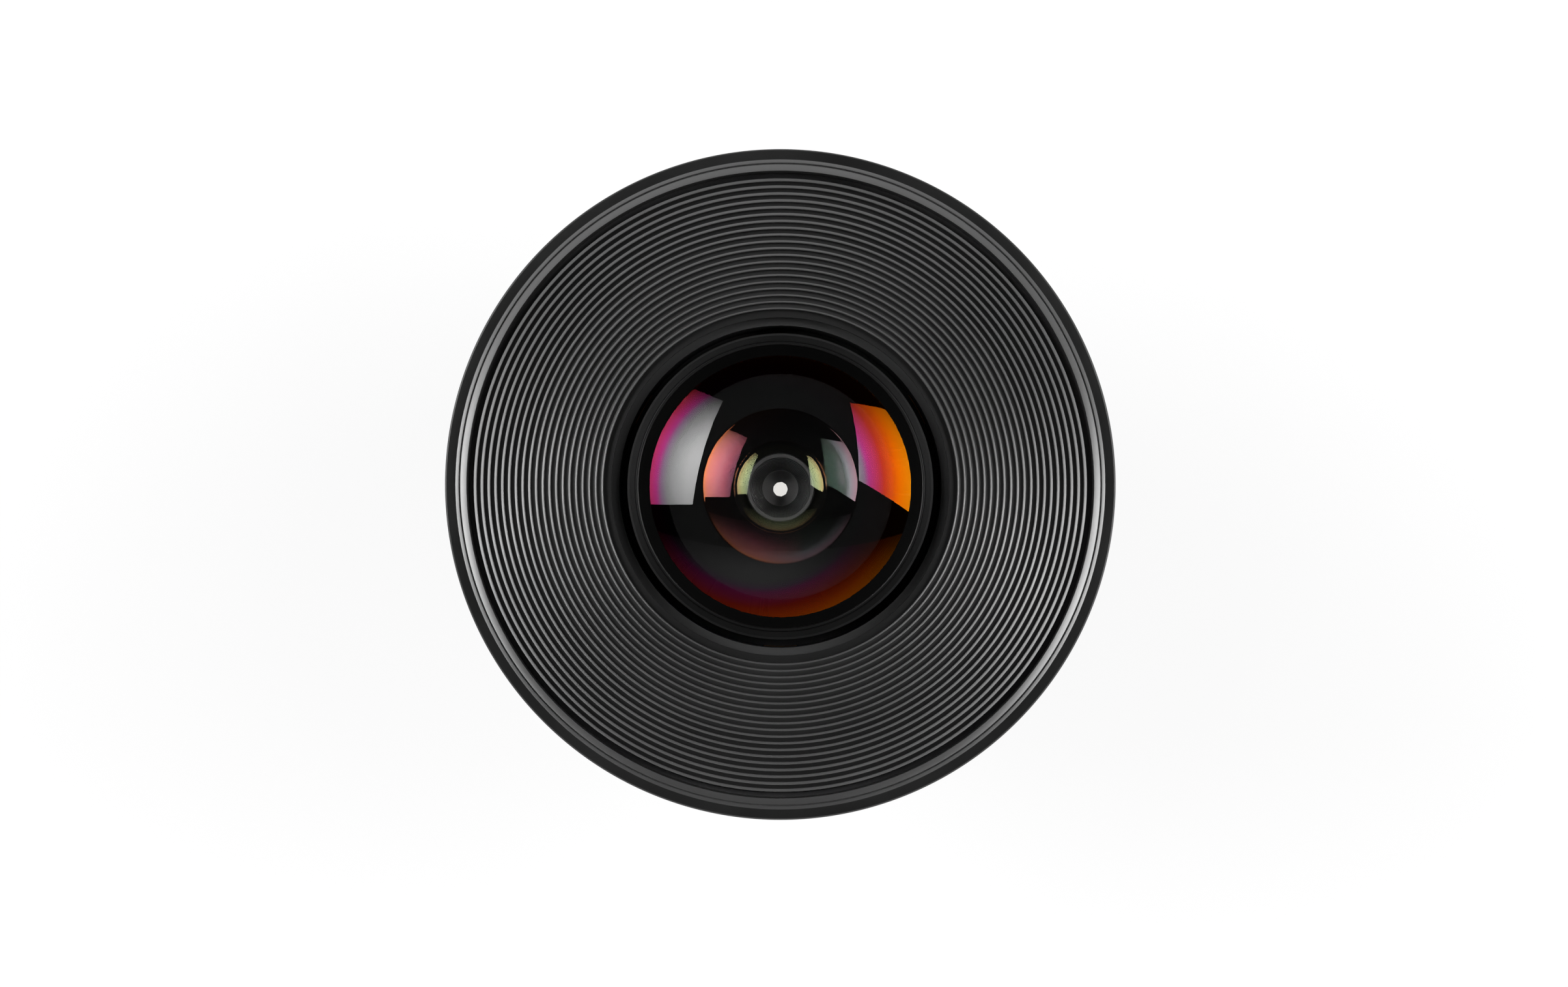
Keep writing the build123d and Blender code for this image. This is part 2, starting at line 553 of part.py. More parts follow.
def main_tube():
    """Fixed inner tube that carries the focus bearing and guides the optical tube."""
    land_top = MAIN_FLANGE_TOP_Z + BEARING_LAND_LENGTH
    body = turned([
        (MAIN_BORE_R, MAIN_REAR_Z), (MAIN_TUBE_R, MAIN_REAR_Z), (MAIN_TUBE_R, MAIN_FLANGE_Z),
        (MAIN_FLANGE_R, MAIN_FLANGE_Z), (MAIN_FLANGE_R, MAIN_FLANGE_TOP_Z),
        (BEARING_LAND_R, MAIN_FLANGE_TOP_Z), (BEARING_LAND_R, land_top), (MAIN_TUBE_R, land_top),
        (MAIN_TUBE_R, MAIN_FRONT_Z), (MAIN_BORE_R, MAIN_FRONT_Z),
    ])
    slots = []
    key_low = CARRIER_Z + (CARRIER_LENGTH - KEY_LENGTH) / 2
    for i in range(KEY_COUNT):
        middle = KEY_FIRST + i * 360 / KEY_COUNT
        half = KEY_ANGLE / 2 + KEY_SIDE_ANGLE
        slots.append(sector(MAIN_TUBE_R + TOOL_OVERRUN, MAIN_BORE_R - TOOL_OVERRUN, key_low - STOP_GAP,
                            key_low + KEY_LENGTH + FOCUS_TRAVEL + STOP_GAP, middle - half, middle + half))
    return cut(body, lever_window(MAIN_TUBE_R, MAIN_BORE_R, "main_tube"), *slots)


def index_sleeve():
    """Fixed ring between the focus and iris rings that carries the index line."""
    web_r = REAR_SHELL_R + INDEX_RECESS_WIDTH
    web_z = MAIN_FLANGE_Z - INDEX_WEB
    skirt_r = INDEX_R - INDEX_TAPER - SHELL_WALL
    body = turned([
        (MAIN_TUBE_R + SEAT_GAP, web_z), (skirt_r, web_z), (skirt_r, INDEX_REAR_Z),
        (INDEX_R - INDEX_TAPER, INDEX_REAR_Z),
        (INDEX_R, INDEX_REAR_Z + INDEX_TAPER), (INDEX_R, INDEX_FRONT_Z), (web_r, INDEX_FRONT_Z),
        (web_r, MAIN_FLANGE_Z), (MAIN_TUBE_R + SEAT_GAP, MAIN_FLANGE_Z),
    ])
    hole = disc(STOP_PIN_R, MAIN_FLANGE_Z - STOP_PIN_DEPTH, MAIN_FLANGE_Z + TOOL_OVERRUN)
    return body - Rot(0, 0, STOP_ANGLE) * Pos(STOP_CIRCLE_R, 0, 0) * hole


def stop_pin():
    """Pin in the index sleeve that ends the focus throw both ways."""
    pin = disc(STOP_PIN_R, MAIN_FLANGE_Z - STOP_PIN_DEPTH, FOCUS_WEB_Z - STOP_PIN_TOP_GAP)
    return Rot(0, 0, STOP_ANGLE) * Pos(STOP_CIRCLE_R, 0, 0) * pin


def bearing_ring():
    """Front bearing of the focus sleeve, screwed on the main tube."""
    low = BEARING_RING_Z
    return turned([
        (MAIN_TUBE_R + SEAT_GAP, low - BEARING_SPIGOT_LENGTH), (BEARING_LAND_R, low - BEARING_SPIGOT_LENGTH),
        (BEARING_LAND_R, low), (MAIN_FLANGE_R, low), (MAIN_FLANGE_R, low + BEARING_RING_THICK),
        (MAIN_TUBE_R + SEAT_GAP, low + BEARING_RING_THICK),
    ])


def front_barrel():
    """Conical shell that carries the front ring and the ribbed funnel."""
    stretch = math.hypot(1, FUNNEL_SLOPE)
    drop = RIB_GROOVE_DEPTH + FUNNEL_WALL * stretch + FACE_GAP
    shell_drop = SHELL_WALL * stretch
    bore_r = MAIN_TUBE_R + SEAT_GAP
    base_r = MAIN_TUBE_R + FRONT_BASE_WALL
    skirt_r = FRONT_BARREL_R - SHELL_WALL
    rim_r = FUNNEL_RIM_R + FACE_GAP

    def inside_z(r):
        return RIB_TOP_Z - drop - (RIB_OUTER_R - r) * FUNNEL_SLOPE

    body = turned([
        (bore_r, BEARING_RING_Z + BEARING_RING_THICK), (base_r, BEARING_RING_Z + BEARING_RING_THICK),
        (base_r, inside_z(base_r) - shell_drop), (skirt_r, inside_z(skirt_r) - shell_drop),
        (skirt_r, FRONT_BARREL_REAR_Z), (FRONT_BARREL_R, FRONT_BARREL_REAR_Z),
        (FRONT_BARREL_R, FRONT_SEAT_Z), (rim_r, FRONT_SEAT_Z), (rim_r, inside_z(rim_r)),
        (bore_r, inside_z(bore_r)),
    ])
    return cut(body, *front_screw_rods(FRONT_BARREL_R + TOOL_OVERRUN))


def front_screw_rods(outer):
    """Radial grub screws of the front ring, or their holes."""
    z = FRONT_RING_REAR_Z + FRONT_SCREW_HEIGHT
    inner = FRONT_BARREL_R - FRONT_SCREW_BITE
    step = 360 / FRONT_SCREW_COUNT
    angles = [FRONT_SCREW_ANGLE + i * step for i in range(FRONT_SCREW_COUNT)]
    return [radial_rod(GRUB_SCREW_R, inner, outer, angle, z) for angle in angles]


def front_ring_screws():
    """Three grub screws below the surface of the front ring."""
    return Compound(children=front_screw_rods(FRONT_R - FRONT_SCREW_SUNK))


def front_ring():
    """Front ring that a clamp-on matte box grips; its bevel is split by a fine groove."""
    seat_r = FRONT_BARREL_R + SEAT_GAP
    rim_outer = FRONT_R - FRONT_EDGE_CHAMFER
    rim_inner = rim_outer - FRONT_RIM_WIDTH
    slope = FRONT_BEVEL_DROP / FRONT_BEVEL_WIDTH
    groove_r = rim_inner - FRONT_GROOVE_OFFSET
    groove_inner_r = groove_r - FRONT_GROOVE_WIDTH
    groove_z = FRONT_Z - FRONT_GROOVE_OFFSET * slope
    groove_inner_z = groove_z - FRONT_GROOVE_WIDTH * slope
    floor_z = groove_inner_z - FRONT_GROOVE_DEPTH
    c = FRONT_RING_REAR_CHAMFER
    body = turned([
        (seat_r, FRONT_RING_REAR_Z), (FRONT_R - c, FRONT_RING_REAR_Z), (FRONT_R, FRONT_RING_REAR_Z + c),
        (FRONT_R, FRONT_Z - FRONT_EDGE_CHAMFER), (rim_outer, FRONT_Z), (rim_inner, FRONT_Z),
        (groove_r, groove_z), (groove_r, floor_z), (groove_inner_r, floor_z),
        (groove_inner_r, groove_inner_z), (FRONT_LIP_R, FRONT_Z - FRONT_BEVEL_DROP),
        (FRONT_LIP_R, FRONT_SEAT_Z), (seat_r, FRONT_SEAT_Z),
    ])
    return cut(body, *front_screw_rods(FRONT_R + TOOL_OVERRUN))


def ribbed_funnel():
    """Stray-light funnel: twenty turned ribs with round crests step down to the front glass."""
    drop = RIB_GROOVE_DEPTH + FUNNEL_WALL * math.hypot(1, FUNNEL_SLOPE)
    half = RIB_CREST / 2
    edges = []
    start = (FUNNEL_RIM_R, 0, RIB_TOP_Z - FUNNEL_RIM_DROP)
    last = start
    for i in range(RIB_COUNT):
        r = RIB_OUTER_R - i * RIB_PITCH_R
        z = RIB_TOP_Z - i * RIB_PITCH_Z
        outer_foot = (r + half, 0, z - half)
        edges.append(Line(last, outer_foot))
        edges.append(ThreePointArc(outer_foot, (r, 0, z), (r - half, 0, z - half)))
        inner_foot = (r - half, 0, z - half - RIB_GROOVE_DEPTH)
        edges.append(Line((r - half, 0, z - half), inner_foot))
        last = inner_foot
    lip = (FUNNEL_END_R, 0, FUNNEL_END_Z)
    lip_rear = (FUNNEL_END_R, 0, FUNNEL_END_Z - FUNNEL_LIP_THICK)
    back_r = FUNNEL_END_R + (drop - FUNNEL_LIP_THICK) / 2
    back_low = (back_r, 0, FUNNEL_END_Z - drop + (back_r - FUNNEL_END_R) * FUNNEL_SLOPE)
    back_high = (FUNNEL_RIM_R, 0, RIB_TOP_Z - drop + FUNNEL_RIM_WIDTH * FUNNEL_SLOPE)
    for point in (lip, lip_rear, back_low, back_high, start):
        edges.append(Line(last, point))
        last = point
    return revolve(make_face(edges), Axis.Z, 360)


# Focus parts
def focus_sleeve():
    """Female helicoid sleeve, turned by the focus ring."""
    body = ring(FOCUS_SLEEVE_R, BEARING_LAND_R + RUNNING_GAP, SLEEVE_REAR_Z, SLEEVE_FRONT_Z)
    return cut(body, *focus_screw_rods(FOCUS_HUB_R))


def focus_screw_rods(outer):
    """Radial grub screws through the focus ring's hub, or their holes."""
    z = SCALE_FRONT_Z + FOCUS_SCREW_HEIGHT
    inner = FOCUS_SLEEVE_R - FOCUS_SCREW_BITE
    step = 360 / FOCUS_SCREW_COUNT
    angles = [FOCUS_SCREW_ANGLE + i * step for i in range(FOCUS_SCREW_COUNT)]
    return [radial_rod(GRUB_SCREW_R, inner, outer, angle, z) for angle in angles]


def focus_ring():
    """Outer focus ring with its follow-focus teeth, webbed to the sleeve inside."""
    seat_r = FOCUS_R - SCALE_WALL
    front_inner_r = FOCUS_R - FOCUS_WALL
    rear_z = FOCUS_REAR_Z + SCALE_REAR_STEP
    hub_low = FOCUS_WEB_Z - FOCUS_HUB_DROP
    hub_high = hub_low + FOCUS_HUB_LENGTH
    bore_r = FOCUS_SLEEVE_R + SEAT_GAP
    c = FOCUS_EDGE_CHAMFER
    body = turned([
        (bore_r, hub_low), (FOCUS_HUB_R, hub_low), (FOCUS_HUB_R, FOCUS_WEB_Z), (FOCUS_INNER_R, FOCUS_WEB_Z),
        (FOCUS_INNER_R, rear_z), (seat_r, rear_z), (seat_r, SCALE_FRONT_Z), (FOCUS_R, SCALE_FRONT_Z),
        (FOCUS_R, FOCUS_FRONT_Z - c), (FOCUS_R - c, FOCUS_FRONT_Z), (front_inner_r, FOCUS_FRONT_Z),
        (front_inner_r, SCALE_FRONT_Z), (FOCUS_HUB_R, SCALE_FRONT_Z), (FOCUS_HUB_R, hub_high),
        (bore_r, hub_high),
    ])
    gear_high = FOCUS_FRONT_Z - FOCUS_GEAR_FROM_FRONT
    body = body + gear_teeth(FOCUS_TEETH, FOCUS_R - GEAR_SEAT, gear_high - GEAR_WIDTH, gear_high)
    return cut(body, *focus_screw_rods(FOCUS_HUB_R + TOOL_OVERRUN))


def focus_scale():
    """Separate sleeve for the distance scale, slipped on the focus ring from the rear."""
    seat_r = FOCUS_R - SCALE_WALL + SEAT_GAP
    c = SCALE_CHAMFER
    return turned([
        (seat_r, FOCUS_REAR_Z), (FOCUS_R - c, FOCUS_REAR_Z), (FOCUS_R, FOCUS_REAR_Z + c),
        (FOCUS_R, SCALE_FRONT_Z), (seat_r, SCALE_FRONT_Z),
    ])


def focus_screws():
    """Grub screws that lock the focus ring to its sleeve."""
    return Compound(children=focus_screw_rods(FOCUS_HUB_R))


# Moving optical block
def carrier_ring():
    """Male helicoid ring that the sleeve drives along the axis."""
    inner = MAIN_TUBE_R + RUNNING_GAP
    return ring(inner + CARRIER_WALL, inner, CARRIER_Z, CARRIER_Z + CARRIER_LENGTH)


def carrier_keys():
    """Keys that join the carrier to the optical tube through the main tube's slots."""
    low = CARRIER_Z + (CARRIER_LENGTH - KEY_LENGTH) / 2
    keys = []
    for i in range(KEY_COUNT):
        start = KEY_FIRST + i * 360 / KEY_COUNT - KEY_ANGLE / 2
        end = start + KEY_ANGLE
        keys.append(sector(MAIN_TUBE_R + RUNNING_GAP, OPTIC_R, low, low + KEY_LENGTH, start, end))
    return Compound(children=keys)


def optical_tube():
    """Tube that slides in the main tube and holds every cell."""
    wall_r = OPTIC_BORE_R + OPTIC_WALL
    rear_land = MAIN_REAR_Z + STOP_GAP + FOCUS_TRAVEL
    front_land = OPTIC_FRONT_Z - OPTIC_LAND
    body = turned([
        (OPTIC_BORE_R, OPTIC_REAR_Z), (wall_r, OPTIC_REAR_Z), (wall_r, rear_land), (OPTIC_R, rear_land),
        (OPTIC_R, rear_land + OPTIC_LAND), (wall_r, rear_land + OPTIC_LAND), (wall_r, front_land),
        (OPTIC_R, front_land), (OPTIC_R, OPTIC_FRONT_Z), (OPTIC_BORE_R, OPTIC_FRONT_Z),
    ])
    return cut(body, lever_window(wall_r, OPTIC_BORE_R, "optical_tube"))


def front_cell():
    """Cell of the two front elements."""
    shoulder_z = front_glass_rear_edge_z()
    second_seat_z = second_glass_rear_edge_z()
    glass_r = FRONT_GLASS_R + GLASS_SIDE_GAP
    second_r = SECOND_GLASS_R + GLASS_SIDE_GAP
    seal_r = glass_r + SEAL_R + FACE_GAP
    seal_low = front_seal_z()
    c = CELL_EDGE_CHAMFER
    return turned([
        (INNER_CELL_R + SEAT_GAP, OPTIC_FRONT_Z), (CELL_R, OPTIC_FRONT_Z), (CELL_R, CELL_FRONT_Z - c),
        (CELL_R - c, CELL_FRONT_Z), (seal_r, CELL_FRONT_Z), (seal_r, seal_low), (glass_r, seal_low),
        (glass_r, shoulder_z), (second_r, shoulder_z), (second_r, second_seat_z),
        (INNER_CELL_R + SEAT_GAP, second_seat_z),
    ])


def front_glass_rear_edge_z():
    """Height of the front element's rear rim."""
    return FRONT_GLASS_Z - FRONT_GLASS_THICK - sag(FRONT_GLASS_REAR_CURVE, FRONT_GLASS_REAR_R)


def second_glass_rear_edge_z():
    """Height of the second element's rear rim."""
    return SECOND_GLASS_Z - SECOND_GLASS_THICK - sag(SECOND_GLASS_REAR_CURVE, SECOND_GLASS_REAR_R)


def front_seal_z():
    """Height of the seal's groove, level with the front element's edge."""
    return FRONT_GLASS_Z - sag(FRONT_GLASS_CURVE, FRONT_GLASS_R) + SEAL_RISE - 2 * SEAL_R


def front_seal():
    """Rubber ring between the front element's edge and its cell."""
    low = front_seal_z()
    inner = FRONT_GLASS_R + GLASS_SIDE_GAP
    return ring(inner + SEAL_R, inner, low, low + 2 * SEAL_R)


def front_bezel():
    """Threaded ring that holds the front element; a steep cone rises from the glass to a rounded nose."""
    lip_z = surface_z(FRONT_GLASS_Z, FRONT_GLASS_CURVE, BEZEL_LIP_R) + SEAT_GAP
    edge_z = surface_z(FRONT_GLASS_Z, FRONT_GLASS_CURVE, FRONT_GLASS_R)
    seat_z = CELL_FRONT_Z + SEAT_GAP
    nose_r = BEZEL_R - BEZEL_NOSE_INSET
    top = CELL_FRONT_Z + BEZEL_HEIGHT
    nose_z = top - BEZEL_NOSE_R
    inside = (nose_r - BEZEL_NOSE_R, 0, nose_z)
    outside = (nose_r + BEZEL_NOSE_R, 0, nose_z)
    corners = [
        outside, (BEZEL_R, 0, CELL_FRONT_Z + BEZEL_SHOULDER_HEIGHT), (BEZEL_R, 0, seat_z),
        (FRONT_GLASS_R + SEAL_R, 0, seat_z), (FRONT_GLASS_R, 0, edge_z + SEAL_R),
        (BEZEL_LIP_R, 0, lip_z), inside,
    ]
    edges = [Line(start, end) for start, end in zip(corners, corners[1:])]
    edges.append(ThreePointArc(inside, (nose_r, 0, top), outside))
    return revolve(make_face(edges), Axis.Z, 360)


def front_element():
    """Large front meniscus."""
    return glass(FRONT_GLASS_R, FRONT_GLASS_CURVE, FRONT_GLASS_REAR_CURVE, FRONT_GLASS_THICK,
                 FRONT_GLASS_Z, rear_r=FRONT_GLASS_REAR_R)


def second_element():
    """Second meniscus, deeply hollow at the rear."""
    return glass(SECOND_GLASS_R, SECOND_GLASS_CURVE, SECOND_GLASS_REAR_CURVE, SECOND_GLASS_THICK,
                 SECOND_GLASS_Z, rear_r=SECOND_GLASS_REAR_R)


def second_lock_ring():
    """Threaded ring over the second element's edge."""
    low = SECOND_GLASS_Z - sag(SECOND_GLASS_CURVE, SECOND_GLASS_R - LOCK_RING_WIDTH) + SEAT_GAP
    inner = SECOND_GLASS_R - LOCK_RING_WIDTH
    return ring(SECOND_GLASS_R + GLASS_SIDE_GAP, inner, low, low + LOCK_RING_THICK)


def inner_cell_top_z():
    """Height of the inner cell's front face, level with the third element's edge."""
    return surface_z(THIRD_GLASS_Z, THIRD_GLASS_CURVE, SMALL_GLASS_LIP_R) + SEAT_GAP


def grooved_baffle():
    """Spacer between the second and third elements: a plain collar, then a cone of fine grooves."""
    high = second_glass_rear_edge_z()
    low = inner_cell_top_z()
    ledge_z = high - BAFFLE_POCKET_DEPTH
    collar_z = ledge_z + BAFFLE_COLLAR_HEIGHT
    under_z = THIRD_GLASS_Z + AXIAL_GAP
    lip_z = under_z + BAFFLE_LIP
    c = BAFFLE_COLLAR_CHAMFER
    step_r = BAFFLE_TAPER / GROOVE_COUNT
    step_z = (collar_z - lip_z) / GROOVE_COUNT
    points = [
        (INNER_CELL_R, low), (INNER_CELL_R, high), (POCKET_R, high), (POCKET_R, ledge_z),
        (COLLAR_R, ledge_z), (COLLAR_R, collar_z - c), (COLLAR_R - c, collar_z), (COLLAR_BORE_R, collar_z),
    ]
    for i in range(GROOVE_COUNT):
        r = COLLAR_BORE_R - i * step_r
        z = collar_z - (i + 1) * step_z
        points += [(r + GROOVE_DEPTH, z), (r - step_r, z)]
    points += [(BAFFLE_END_R, under_z), (SMALL_GLASS_LIP_R, under_z), (SMALL_GLASS_LIP_R, low)]
    return turned(points)


def inner_cell():
    """Cell of the third element and the front doublet."""
    bore = SMALL_GLASS_R + GLASS_SIDE_GAP
    seat_z = surface_z(DOUBLET_END_Z, DOUBLET_REAR_CURVE, COVER_OPENING_R) - SEAT_GAP
    top_z = inner_cell_top_z()
    return turned([
        (COVER_OPENING_R, COVER_Z + COVER_THICK), (INNER_CELL_R, COVER_Z + COVER_THICK),
        (INNER_CELL_R, top_z), (bore, top_z), (bore, seat_z), (COVER_OPENING_R, seat_z),
    ])


def third_element():
    """Third meniscus."""
    return glass(SMALL_GLASS_R, THIRD_GLASS_CURVE, THIRD_GLASS_REAR_CURVE, THIRD_GLASS_THICK, THIRD_GLASS_Z,
                 rear_r=THIRD_GLASS_REAR_R)


def doublet_spacer():
    """Spacer ring between the third element and the doublet."""
    low = surface_z(DOUBLET_Z, DOUBLET_CURVE, SMALL_GLASS_LIP_R) + SEAT_GAP
    high = surface_z(THIRD_GLASS_Z - THIRD_GLASS_THICK, THIRD_GLASS_REAR_CURVE, THIRD_GLASS_REAR_R)
    return ring(SMALL_GLASS_R, SMALL_GLASS_LIP_R, low, high)


def doublet_front():
    """Thick crown half of the front doublet."""
    return glass(SMALL_GLASS_R, DOUBLET_CURVE, DOUBLET_JOIN_CURVE, DOUBLET_THICK, DOUBLET_Z)


def doublet_rear():
    """Thin flint half of the front doublet."""
    return glass(SMALL_GLASS_R, DOUBLET_JOIN_CURVE, DOUBLET_REAR_CURVE, DOUBLET_REAR_THICK,
                 DOUBLET_Z - DOUBLET_THICK - CEMENT_GAP)


# Rear group
def rear_cell():
    """Cell of the rear doublet and the last element, which reaches into the spigot."""
    bore = SMALL_GLASS_R + GLASS_SIDE_GAP
    glass_bore = REAR_GLASS_R + GLASS_SIDE_GAP
    top_z = DIAPHRAGM_Z - DIAPHRAGM_FLOOR
    seat_z = surface_z(REAR_DOUBLET_END_Z, REAR_DOUBLET_REAR_CURVE, SMALL_GLASS_LIP_R) - SEAT_GAP
    rear_lip_r = REAR_GLASS_R - LOCK_RING_WIDTH
    rear_seat_z = surface_z(REAR_GLASS_Z, REAR_GLASS_CURVE, rear_lip_r) + SEAT_GAP
    ring_z = surface_z(REAR_GLASS_Z - REAR_GLASS_THICK, REAR_GLASS_REAR_CURVE, rear_lip_r) - SEAT_GAP
    flange_z = OPTIC_REAR_Z - REAR_CELL_FLANGE
    return turned([
        (bore, top_z), (INNER_CELL_R, top_z), (INNER_CELL_R, OPTIC_REAR_Z),
        (REAR_CELL_FLANGE_R, OPTIC_REAR_Z), (REAR_CELL_FLANGE_R, flange_z), (REAR_CELL_R, flange_z),
        (REAR_CELL_R, REAR_CELL_END_Z + SPIGOT_CHAMFER), (REAR_CELL_R - SPIGOT_CHAMFER, REAR_CELL_END_Z),
        (REAR_CELL_MOUTH_R, REAR_CELL_END_Z),
        (glass_bore, ring_z - LOCK_RING_THICK), (glass_bore, rear_seat_z),
        (rear_lip_r, rear_seat_z), (rear_lip_r, rear_seat_z + LOCK_RING_THICK),
        (SMALL_GLASS_LIP_R, seat_z - LOCK_RING_THICK), (SMALL_GLASS_LIP_R, seat_z), (bore, seat_z),
    ])


def rear_doublet_front():
    """Hollow flint half of the rear doublet."""
    return glass(SMALL_GLASS_R, REAR_DOUBLET_CURVE, REAR_DOUBLET_JOIN_CURVE, REAR_DOUBLET_FRONT_THICK,
                 REAR_DOUBLET_Z)


def rear_doublet_rear():
    """Crown half of the rear doublet."""
    return glass(SMALL_GLASS_R, REAR_DOUBLET_JOIN_CURVE, REAR_DOUBLET_REAR_CURVE, REAR_DOUBLET_THICK,
                 REAR_DOUBLET_Z - REAR_DOUBLET_FRONT_THICK - CEMENT_GAP)


def rear_doublet_ring():
    """Threaded ring that holds the rear doublet."""
    low = surface_z(REAR_DOUBLET_Z, REAR_DOUBLET_CURVE, SMALL_GLASS_R) + SEAT_GAP
    return ring(SMALL_GLASS_R + GLASS_SIDE_GAP, SMALL_GLASS_R - LOCK_RING_WIDTH, low, low + LOCK_RING_THICK)


def rear_element():
    """Last element, seen from the mount side."""
    return glass(REAR_GLASS_R, REAR_GLASS_CURVE, REAR_GLASS_REAR_CURVE, REAR_GLASS_THICK, REAR_GLASS_Z)


def rear_lock_ring():
    """Threaded ring that holds the last element."""
    inner = REAR_GLASS_R - LOCK_RING_WIDTH
    high = surface_z(REAR_GLASS_Z - REAR_GLASS_THICK, REAR_GLASS_REAR_CURVE, inner) - SEAT_GAP
    return ring(REAR_GLASS_R + GLASS_SIDE_GAP, inner, high - LOCK_RING_THICK, high)


# Diaphragm
def diaphragm_housing():
    """Cup whose floor carries the blade pivots and whose wall has a window for the drive tail."""
    floor_z = DIAPHRAGM_Z - DIAPHRAGM_FLOOR
    wall_r = INNER_CELL_R - DIAPHRAGM_WALL
    body = turned([
        (APERTURE_MAX_R, DIAPHRAGM_Z), (APERTURE_MAX_R, DIAPHRAGM_Z - APERTURE_EDGE),
        (APERTURE_MAX_R + APERTURE_FLARE, floor_z),
        (INNER_CELL_R, floor_z), (INNER_CELL_R, COVER_Z), (wall_r, COVER_Z), (wall_r, DIAPHRAGM_Z),
    ])
    holes = axial_rods(PIN_R + PIN_GAP, PIVOT_CIRCLE_R, BLADE_COUNT, DIAPHRAGM_Z - PIVOT_HOLE,
                       DIAPHRAGM_Z + TOOL_OVERRUN)
    tail_half = math.degrees(math.asin(ACTUATOR_TAIL_WIDTH / 2 / wall_r)) + ACTUATOR_TAIL_SIDE_ANGLE
    window = sector(INNER_CELL_R + TOOL_OVERRUN, wall_r - TOOL_OVERRUN, ACTUATOR_Z - BLADE_STEP,
                    COVER_Z + TOOL_OVERRUN, LEVER_ANGLE - IRIS_OPEN_ANGLE - tail_half,
                    LEVER_ANGLE + IRIS_CLOSE_ANGLE + tail_half)
    return cut(body, window, *holes)


def diaphragm_cover():
    """Ring plate over the actuator."""
    return ring(INNER_CELL_R, COVER_OPENING_R, COVER_Z, COVER_Z + COVER_THICK)


def drive_pin_at(turn):
    """Place of a blade's drive pin, in the actuator's frame, when the iris ring has turned from rest."""
    swing = math.radians(REST_BLADE_ANGLE + IRIS_RATIO * turn)
    x = PIVOT_CIRCLE_R + DRIVE_ARM * math.sin(swing)
    y = -DRIVE_ARM * math.cos(swing)
    back = math.radians(-turn)
    return (x * math.cos(back) - y * math.sin(back), x * math.sin(back) + y * math.cos(back))


def drive_slot():
    """Curved slot that turns a blade at a constant share of the actuator's turn."""
    half = PIN_R + PIN_GAP
    span = IRIS_OPEN_ANGLE + IRIS_CLOSE_ANGLE
    left = []
    right = []
    for i in range(SLOT_POINTS):
        turn = -IRIS_OPEN_ANGLE + span * i / (SLOT_POINTS - 1)
        x, y = drive_pin_at(turn)
        x_next, y_next = drive_pin_at(turn + SLOT_STEP_ANGLE)
        length = math.hypot(x_next - x, y_next - y)
        tx = (x_next - x) / length
        ty = (y_next - y) / length
        left.append((x - half * ty, y + half * tx))
        right.append((x + half * ty, y - half * tx))
        if i == 0:
            start_cap = (x - half * tx, y - half * ty)
        end_cap = (x + half * tx, y + half * ty)
    edges = [
        Spline(*left), ThreePointArc(left[-1], end_cap, right[-1]),
        Spline(*reversed(right)), ThreePointArc(right[0], start_cap, left[0]),
    ]
    slot = extrude(make_face(edges), ACTUATOR_THICK + 2 * TOOL_OVERRUN)
    return Pos(0, 0, ACTUATOR_Z - TOOL_OVERRUN) * slot


def iris_actuator():
    """Slotted ring that turns all the blades; its tail is forked around the iris lever."""
    body = ring(ACTUATOR_OUTER_R, ACTUATOR_INNER_R, ACTUATOR_Z, ACTUATOR_Z + ACTUATOR_THICK)
    tail_length = ACTUATOR_TAIL_LENGTH + TOOL_OVERRUN
    tail = Box(tail_length, ACTUATOR_TAIL_WIDTH, ACTUATOR_THICK)
    tail = Pos(ACTUATOR_TAIL_R - tail_length / 2, 0, LEVER_Z) * tail
    fork_start = LEVER_TIP_R - PIN_R
    fork_length = ACTUATOR_TAIL_R + TOOL_OVERRUN - fork_start
    fork = Box(fork_length, 2 * (LEVER_R + PIN_GAP), 2 * ACTUATOR_THICK)
    fork = Pos(fork_start + fork_length / 2, 0, LEVER_Z) * fork
    body = body + Rot(0, 0, LEVER_ANGLE) * (tail - fork)
    slot = drive_slot()
    slots = [Rot(0, 0, i * PITCH_ANGLE) * slot for i in range(BLADE_COUNT)]
    return cut(body, *slots)


def iris_blade(index):
    """Thin curved blade with a pivot pin to the floor and a drive pin to the actuator."""
    low = DIAPHRAGM_Z + BLADE_STEP * (index + 0.5)
    band = sector(BLADE_OUTER_R, BLADE_INNER_R, low, low + BLADE_THICK, -BLADE_TAB_ANGLE, BLADE_SPAN)
    neck = sector(PIVOT_CIRCLE_R, BLADE_OUTER_R - BLADE_TAB_OVERLAP, low, low + BLADE_THICK,
                  -BLADE_TAB_ANGLE, BLADE_TAB_ANGLE)
    pad = disc(BLADE_PAD_R, low, low + BLADE_THICK)
    arm = Box(2 * BLADE_PAD_R, DRIVE_ARM, BLADE_THICK)
    arm = Pos(PIVOT_CIRCLE_R, -DRIVE_ARM / 2, low + BLADE_THICK / 2) * arm
    pivot = disc(PIN_R, DIAPHRAGM_Z - PIVOT_HOLE + FACE_GAP, low)
    drive = disc(PIN_R, low + BLADE_THICK, ACTUATOR_Z + ACTUATOR_THICK)
    blade = band + neck + arm
    blade = blade + Pos(PIVOT_CIRCLE_R, 0, 0) * pad + Pos(PIVOT_CIRCLE_R, -DRIVE_ARM, 0) * pad
    blade = blade + Pos(PIVOT_CIRCLE_R, 0, 0) * pivot + Pos(PIVOT_CIRCLE_R, -DRIVE_ARM, 0) * drive
    swung = Pos(PIVOT_CIRCLE_R, 0, 0) * Rot(0, 0, REST_BLADE_ANGLE) * Pos(-PIVOT_CIRCLE_R, 0, 0) * blade
    return Rot(0, 0, index * PITCH_ANGLE) * swung


